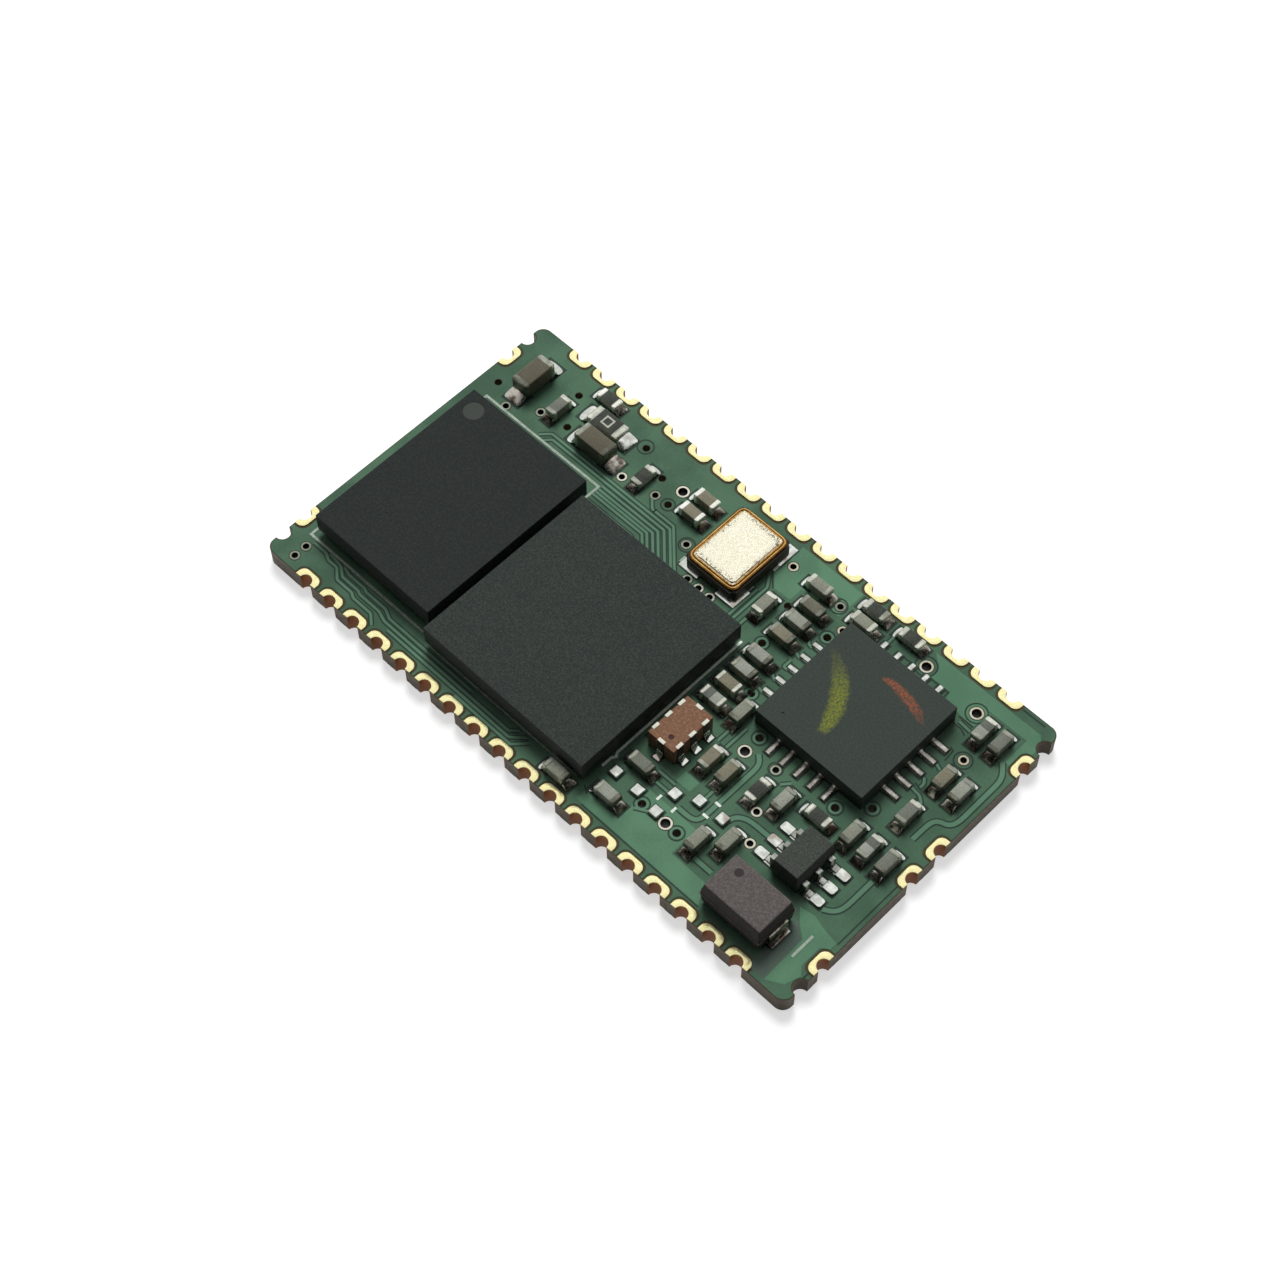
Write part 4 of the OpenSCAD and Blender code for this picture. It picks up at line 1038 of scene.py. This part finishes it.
def makeBulkCapacitor(shadedSolder):
    look = bulkLook
    low, high = boxOf("bulk_capacitor_case")
    spot = spotIn(low, high, look["dot"])
    case = soften(merged("bulk_capacitor_case", "BulkCapacitorCase"), look["edge"], 3)
    finish, body, rough, height, depth = mouldFinish("bulkMouldSideShade", (85, 80, 78), (106, 100, 98), 0.07, 0.008)
    body = finish.blend(finish.dot(spot, look["dotRadius"]), body, paint(58, 54, 53))
    # the sides are painted darker than the top: painted shade
    body = finish.blend(finish.fade(finish.facing(), 0.35, 0.85), paint(54, 50, 48), body)
    painted(case, finish.done(body, rough, height, depth))
    # thin flash along the mould's parting line
    middle, half = (low.z + high.z) / 2, look["seamHeight"] / 2
    outline = corners(low, high)
    seam = ribbons("seam", [outline + outline[:1]], look["seamWidth"], middle - half, middle + half)
    painted(seam, plainMould("seamMould", (92, 86, 84), (112, 106, 103), 0.07, 0.008))
    keep(joined([case, seam], "BulkCapacitorCase"), None, "bulk_mould", "bulk_capacitor_case")
    # the leads and their solder take the shaded solder: painted shade
    for node, slot in (("bulk_capacitor_leads", "tin"), ("bulk_capacitor_solder", "solder")):
        keepCopy(node, look["leadEdge"], shadedSolder, slot)
    print("moulded capacitor made")


# small chips: capacitors, resistors and inductors with their solder

smallLook = {
    "small": {"endLength": 0.22, "toe": 0.25, "wrap": 0.02, "bodyEdge": 0.04, "endEdge": 0.075},
    "large": {"endLength": 0.30, "toe": 0.46, "wrap": 0.02, "bodyEdge": 0.06, "endEdge": 0.12},
    "largeFrom": 1.3, "coatEdge": 0.008, "landGap": 0.06, "landMost": 2.5,
    "filletHeight": 0.34, "filletClimb": 0.8, "filletSpread": 1.04, "filletRoot": 0.06,
    "thinSteps": [(0.14, 0.55, 1.05), (0.16, 0.45, 1.05), (0.22, 0.42, 1.02), (0.48, 0.75, 0.97)],
    "fullSteps": [(0.28, 0.8, 1.04), (0.3, 0.68, 1.04), (0.26, 0.55, 1.0), (0.16, 0.3, 0.9)],
    "mark": {"spot": (-7.7, 5.4), "side": 0.36, "width": 0.07, "rise": 0.004, "root": 0.01},
    "spare": {"corner": 0.05, "edge": 0.13},
    "zones": {
        "memory": {"solder": "memory_solder", "resistors": "memory_resistor_bodies"},
        "crystal": {"solder": "crystal_capacitor_solder"},
        "column": {"solder": "column_solder", "resistors": "column_resistor_bodies",
                   "inductors": "column_inductor_body", "darkSide": (-1, 0, 0)},
        "antenna": {"solder": "antenna_solder",
                    "inductors": "antenna_inductor_bodies", "darkSide": (0, 1, 0)},
        "supply": {"solder": "supply_solder", "resistors": "supply_resistor_bodies"},
    },
    "tintRange": (0.87, 1.03),
    "tints": {
        "brown": (92, 88, 74), "olive": (106, 104, 90), "slate": (114, 118, 107), "tan": (127, 123, 105),
        "grey": (135, 138, 123), "pale": (150, 153, 141),
    },
    # where the ceramic isn't the usual grey
    "tinted": {
        "brown": [(-11.25, 4.95), (-7.35, 4.35)],
        "olive": [(3.35, 4.75)],
        "slate": [(11.3, 0.9), (12.05, -1.0), (11.8, 5.2), (3.4, -4.1), (-9.6, 4.7)],
        "tan": [
            (3.35, 3.15), (3.35, 0.35), (11.3, 2.8), (4.97, -2.27), (5.78, -2.27), (-2.6, 4.68), (-2.6, 5.48),
        ],
        "pale": [(3.35, 3.95), (3.35, 1.95), (3.35, 1.15), (12.05, 2.8), (7.88, -1.72), (3.4, -5.75)],
    },
    # where the metal ends get a painted highlight: white at both ends, bright at the far end, bright at the
    # near end too
    "glintEnds": [(-2.6, 4.68), (-2.6, 5.48), (-8.5, 6.3)],
    "highlitEnds": [
        (-9.6, 4.7), (-2.6, 4.68), (-2.6, 5.48), (2.0, 3.65), (2.95, 5.6), (3.35, 0.35), (3.35, -0.45),
        (5.1, 5.55), (11.3, 0.9), (11.25, -1.0), (11.05, 5.2), (4.97, -2.27), (7.0, -2.0), (9.1, -1.3),
        (-7.7, 5.4), (-8.5, 6.3), (5.05, 6.3), (6.75, 6.3), (-5.1, 4.65),
    ],
    "highlitNear": [
        (-7.7, 5.4), (-8.5, 6.3), (-2.6, 4.68), (2.0, 3.65), (3.35, 0.35), (3.35, -0.45), (5.1, 5.55),
        (7.0, -2.0), (9.1, -1.3), (6.75, 6.3),
    ],
}


def chipPlaces(node):
    # middle, turn, outer size, kind and tint of each chip in a node, from its ceramic core
    places = []
    for low, high in solidsOf(node):
        size = high - low
        kind = "large" if max(size[:2]) > smallLook["largeFrom"] else "small"
        wrap = smallLook[kind]["wrap"]
        place = {
            "x": (low[0] + high[0]) / 2, "y": (low[1] + high[1]) / 2, "z": low[2] - wrap,
            "turn": along if size[0] > size[1] else across, "kind": kind,
            "length": max(size[:2]) + 2 * wrap, "width": min(size[:2]) + 2 * wrap,
            "height": size[2] + 2 * wrap}
        spot = (place["x"], place["y"])
        tints = [tint for tint, spots in smallLook["tinted"].items() if isNear(spot, spots)]
        place["tint"] = (tints + ["grey"])[0]
        for trait in ("glintEnds", "highlitEnds", "highlitNear"):
            place[trait] = isNear(spot, smallLook[trait])
        places.append(place)
    return places


def alike(places, *traits):
    # the places in groups that share their size and these traits
    groups = {}
    for place in places:
        sizes = tuple(round(place[key], 3) for key in ("length", "width", "height"))
        groups.setdefault((*sizes, *(place[trait] for trait in traits)), []).append(place)
    return groups.values()


def spotsOf(places):
    return [(place["x"], place["y"], place["z"], place["turn"]) for place in places]


def bodyModel(place):
    wrap = smallLook[place["kind"]]["wrap"]
    length, width = place["length"] / 2 - wrap, place["width"] / 2 - wrap
    body = block("body", (-length, -width, wrap), (length, width, place["height"] - wrap))
    return soften(body, smallLook[place["kind"]]["bodyEdge"], 3)


def endModel(place):
    outer = place["length"] / 2
    inner = outer - smallLook[place["kind"]]["endLength"]
    end = block("end", (inner, -place["width"] / 2, 0), (outer, place["width"] / 2, place["height"]))
    return shade(roundEdges(end, everyEdge, smallLook[place["kind"]]["endEdge"], 4))


def filletModel(place, steps):
    # solder that runs down from a chip's end in a curve and spreads a little
    look = smallLook
    toe = look[place["kind"]]["toe"]
    width = place["width"] * look["filletSpread"]
    height = min(place["height"] * look["filletClimb"], look["filletHeight"])
    fillet = block("fillet", (-look["filletRoot"], -width / 2, 0), (0, width / 2, height))
    pickFaces(fillet, lambda middle, normal: normal.x > 0.9)
    for share, drop, spread in look[steps]:
        bpy.ops.mesh.extrude_region_move(TRANSFORM_OT_translate={"value": (share * toe * mm, 0, 0)})
        bpy.ops.transform.resize(value=(1, spread, drop), center_override=(0, 0, 0))
    finishWith(editDone(fillet), "SUBSURF", levels=2, render_levels=2)
    solo(fillet)
    bpy.ops.object.shade_smooth()
    return fillet


def makeFillets(places, name, bright, shadedSolder):
    # the paste spread out thin towards the memory chip and the rear, and stayed full on the other side
    pieces = []
    for group in alike(places, "kind", "highlitNear"):
        thin, full = [], []
        for place in group:
            for turn in (place["turn"], place["turn"] + math.pi):
                way = Vector((math.cos(turn), math.sin(turn)))
                spot = Vector((place["x"], place["y"])) + way * place["length"] / 2
                chosen = thin if isFar(turn) else full
                chosen.append((*spot, boardTop, turn))
        # far fillets take the bright solder; near fillets take painted shade, except on large chips listed as
        # lit, which get a painted highlight
        nearFinish = bright if group[0]["highlitNear"] and group[0]["kind"] == "large" else shadedSolder
        pieces.append(painted(copies(filletModel(group[0], "thinSteps"), thin, "fillets"), bright))
        pieces.append(painted(copies(filletModel(group[0], "fullSteps"), full, "fillets"), nearFinish))
    return joined(pieces, name)


def endMetal(place, turn):
    # lit and shaded copies of one plating: a painted highlight on the listed ends, and painted shade that is
    # deeper on the near ends than on the far ends
    if place["glintEnds"]:
        return "white"
    if isFar(turn):
        return "silver" if place["highlitEnds"] else "halfShaded"
    if place["highlitNear"]:
        return "silver"
    return "halfShaded" if place["highlitEnds"] else "shaded"


def makeEnds(stem, places, metals):
    pieces = []
    for group in alike(places):
        spots = {metal: [] for metal in metals}
        for place in group:
            for turn in (place["turn"], place["turn"] + math.pi):
                spots[endMetal(place, turn)].append((place["x"], place["y"], place["z"], turn))
        for metal, chosen in spots.items():
            if chosen:
                pieces.append(painted(copies(endModel(group[0]), chosen, "ends"), metals[metal]))
    keep(joined(pieces, titled(stem) + "Ends"), None, "end_metal", stem + "_ends")


def twoTone(place, darkSide, light, dark):
    # an inductor's body: one half printed darker, split across its length
    body = copies(bodyModel(place), spotsOf([place]), "body")
    middle = Vector((place["x"], place["y"], place["z"])) * mm
    editAll(body)
    bpy.ops.mesh.bisect(plane_co=middle, plane_no=darkSide)
    painted(editDone(body), light)
    return paintFaces(body, dark, lambda spot, normal: (spot * mm - middle).dot(darkSide) > 0)


def keepChips(node, places, bodies, finish, slot, metals):
    # the bodies of a node's chips as one piece, and their metal ends as another
    stem = node.rsplit("_", 1)[0]
    keep(joined(bodies, titled(stem) + "Bodies"), finish, slot, node)
    makeEnds(stem, places, metals)


def makeInductors(node, darkSide, metals):
    light = ceramicFinish("inductorLight", (136, 140, 132), (158, 162, 152))
    dark = ceramicFinish("inductorDark", (82, 87, 80), (102, 107, 98))
    places = chipPlaces(node)
    bodies = [twoTone(place, Vector(darkSide), light, dark) for place in places]
    keepChips(node, places, bodies, None, "inductor_ceramic", metals)
    return places


def makeResistors(node, alumina, coat, metals):
    places = chipPlaces(node)
    bodies = [copies(bodyModel(group[0]), spotsOf(group), "bodies") for group in alike(places)]
    keepChips(node, places, bodies, alumina, "alumina", metals)
    coatNode = node.replace("bodies", "coats")
    coats = painted(softCopy(coatNode, titled(coatNode), smallLook["coatEdge"]), coat)
    # one coat has a square outline on it
    mark = smallLook["mark"]
    half = mark["side"] / 2
    for low, high in solidsOf(coatNode):
        x, y = (low + high)[:2] / 2
        if isNear((x, y), [mark["spot"]]):
            square = [(x, y - half), (x + half, y - half), (x + half, y + half), (x - half, y + half),
                      (x - half, y - half), (x, y - half)]
            ring = ribbons("mark", [square], mark["width"], high[2] - mark["root"], high[2] + mark["rise"])
            coats = joined([coats, painted(ring, alumina)], coats.name)
    keep(coats, None, "black_coat", coatNode)
    return places


def makeCapacitors(node, tints, metals):
    places = chipPlaces(node)
    bodies = []
    for group in alike(places, "tint"):
        bodies.append(painted(copies(bodyModel(group[0]), spotsOf(group), "bodies"), tints[group[0]["tint"]]))
    keepChips(node, places, bodies, None, "capacitor_ceramic", metals)
    return places


def makeSpareLands(solder):
    # pillows of solder where the maker left a chip off
    look = smallLook["spare"]
    lands = solidsOf("spare_lands")
    half = (lands[0][1] - lands[0][0]) / 2
    land = block("land", (-half[0], -half[1], 0), (half[0], half[1], 2 * half[2]))
    soften(roundEdges(land, upright, look["corner"], 3), look["edge"], 4)
    spots = [(*((low + high) / 2)[:2], low[2], along) for low, high in lands]
    keep(copies(land, spots, "SpareLands"), solder, "solder", "spare_lands")


def makeSmallChips(solder, shadedSolder):
    look = smallLook
    # one plating in four levels of painted light, from a white painted highlight down to painted shade
    metals = {
        "white": metalFinish("endWhiteHighlight", (232, 234, 222), (248, 249, 240), 0.3, metallic=0.8),
        "silver": metalFinish("endSilverHighlight", (196, 198, 184), (228, 229, 216), 0.32, metallic=0.95),
        "halfShaded": metalFinish("endHalfShaded", (146, 149, 136), (176, 179, 164), 0.38, metallic=0.9),
        "shaded": metalFinish("endShaded", (98, 99, 88), (134, 135, 122), 0.38, metallic=0.9),
    }
    alumina = ceramicFinish("alumina", (150, 152, 142), (190, 190, 178))
    coat = ceramicFinish("blackCoat", (44, 48, 43), (66, 70, 62))
    tints = {}
    for tint, colour in look["tints"].items():
        tones = [[level * share for level in colour] for share in look["tintRange"]]
        tints[tint] = ceramicFinish(tint + "Ceramic", *tones)
    for zone, nodes in look["zones"].items():
        places = makeCapacitors(zone + "_capacitor_bodies", tints, metals)
        if "resistors" in nodes:
            places += makeResistors(nodes["resistors"], alumina, coat, metals)
        if "inductors" in nodes:
            places += makeInductors(nodes["inductors"], nodes["darkSide"], metals)
        fillets = makeFillets(places, titled(nodes["solder"]), solder, shadedSolder)
        keep(fillets, None, "solder", nodes["solder"])
    makeSpareLands(solder)
    print("small chips made")


def landOutlines():
    # the clear band round each soldered land
    look = smallLook
    nodes = [zone["solder"] for zone in look["zones"].values()]
    nodes += [chip + "_solder" for chip in ("radio", "regulator", "filter", "crystal", "bulk_capacitor")]
    outlines = []
    for node in nodes + ["spare_lands"]:
        for low, high in solidsOf(node):
            low, high = low - look["landGap"], high + look["landGap"]
            if max((high - low)[:2]) < look["landMost"]:
                outlines.append(corners(low, high))
    return outlines


# floor, light and camera

studio = {
    "target": (-0.30, -0.41, 0.8), "azimuth": 45.0, "elevation": 58.75, "distance": 91.28, "roll": -0.58,
    "lens": 71.47, "sensor": 36, "clipStart": 5, "floorSize": 4000, "floorGlow": 0.6, "skyLight": 0.42,
    "key": {"from": (225, 55, 420), "size": 200, "power": 1.7},
    "card": {"elevation": 30, "distance": 260, "width": 2800, "height": 520},
}


def towards(azimuth, elevation, distance):
    turn, tilt = math.radians(azimuth), math.radians(elevation)
    level = math.cos(tilt)
    return Vector((math.sin(turn) * level, -math.cos(turn) * level, math.sin(tilt))) * distance


def makeFloor():
    bpy.ops.object.select_all(action="DESELECT")
    bpy.ops.mesh.primitive_plane_add(size=studio["floorSize"] * mm, location=(0, 0, 0))
    floor = bpy.context.object
    floor.name = "floor"
    finish = Finish("paleFloor", Roughness=0.9, Specular_IOR_Level=0.0, Base_Color=paint(190, 190, 190))
    rays = finish.node("LightPath", {}, {}, "Is Camera Ray")
    for kind in ("Is Glossy Ray", "Is Transmission Ray"):
        rays = rays + finish.node("LightPath", {}, {}, kind)
    glow = finish.node("Emission", {}, {"Color": (1, 1, 1, 1), "Strength": studio["floorGlow"]})
    none = finish.node("Emission", {}, {"Strength": 0.0})
    lit = finish.node("MixShader", {}, {0: rays, 1: none, 2: glow})
    both = finish.node("AddShader", {}, [Wire(finish, finish.shader.outputs[0]), lit])
    finish.tree.links.new(both.socket, finish.tree.nodes["Material Output"].inputs[0])
    floor.data.materials.append(finish.material)


def makeSky():
    # white for the eye and for reflections, a softer level for the light that it sheds
    world = bpy.data.worlds.new("studio")
    bpy.context.scene.world = world
    world.use_nodes = True
    tree = world.node_tree
    path = tree.nodes.new("ShaderNodeLightPath")
    level = None
    for ray in ("Is Camera Ray", "Is Glossy Ray", "Is Transmission Ray"):
        most = tree.nodes.new("ShaderNodeMath")
        most.operation = "MAXIMUM"
        most.inputs[1].default_value = studio["skyLight"]
        tree.links.new(path.outputs[ray], most.inputs[0])
        if level is not None:
            tree.links.new(level, most.inputs[1])
        level = most.outputs[0]
    tree.nodes["Background"].inputs["Color"].default_value = (1, 1, 1, 1)
    tree.links.new(level, tree.nodes["Background"].inputs["Strength"])


def makeCard():
    # a dark card behind the camera keeps the near sides in shade
    look = studio["card"]
    spot = towards(studio["azimuth"], look["elevation"], look["distance"])
    bpy.ops.object.select_all(action="DESELECT")
    turn = spot.to_track_quat("Z", "Y").to_euler()
    bpy.ops.mesh.primitive_plane_add(size=1, location=spot * mm, rotation=turn)
    card = bpy.context.object
    card.name = "shadeCard"
    card.scale = (look["width"] * mm, look["height"] * mm, 1)
    finish = Finish("cardGrey", Roughness=0.9, Specular_IOR_Level=0.0, Base_Color=paint(30, 30, 30))
    card.data.materials.append(finish.material)


def makeLamp():
    look = studio["key"]
    spot = towards(*look["from"])
    bpy.ops.object.select_all(action="DESELECT")
    bpy.ops.object.light_add(type="AREA", location=spot * mm)
    lamp = bpy.context.object
    lamp.name = "keySoftbox"
    lamp.data.shape = "DISK"
    lamp.data.size = look["size"] * mm
    lamp.data.energy = look["power"]
    lamp.visible_glossy = False
    lamp.rotation_mode = "QUATERNION"
    lamp.rotation_quaternion = (-spot).to_track_quat("-Z", "Y")


def makeCamera():
    look = studio
    back = towards(look["azimuth"], look["elevation"], 1)
    bpy.ops.object.camera_add(location=(Vector(look["target"]) + back * look["distance"]) * mm)
    camera = bpy.context.object
    camera.rotation_mode = "QUATERNION"
    roll = Matrix.Rotation(math.radians(look["roll"]), 4, "Z").to_quaternion()
    camera.rotation_quaternion = (-back).to_track_quat("-Z", "Y") @ roll
    camera.data.lens = look["lens"]
    camera.data.sensor_width = look["sensor"]
    camera.data.clip_start = look["clipStart"] * mm
    bpy.context.scene.camera = camera
    bpy.context.scene.view_settings.view_transform = "Standard"
    print("floor, light and camera made")


makeFloor()
makeSky()
makeCard()
makeLamp()
makeCamera()
openings, coveredHoles = makeBoard()
makeDrawing(landOutlines(), openings, coveredHoles)
makeChips()
solder, shadedSolder = solderFinish(), shadedSolderFinish()
tin = makeRadioSolder(solder)
makeCrystal(solder)
makeFilter(solder)
makeRegulator(solder, tin)
makeBulkCapacitor(shadedSolder)
makeSmallChips(solder, shadedSolder)
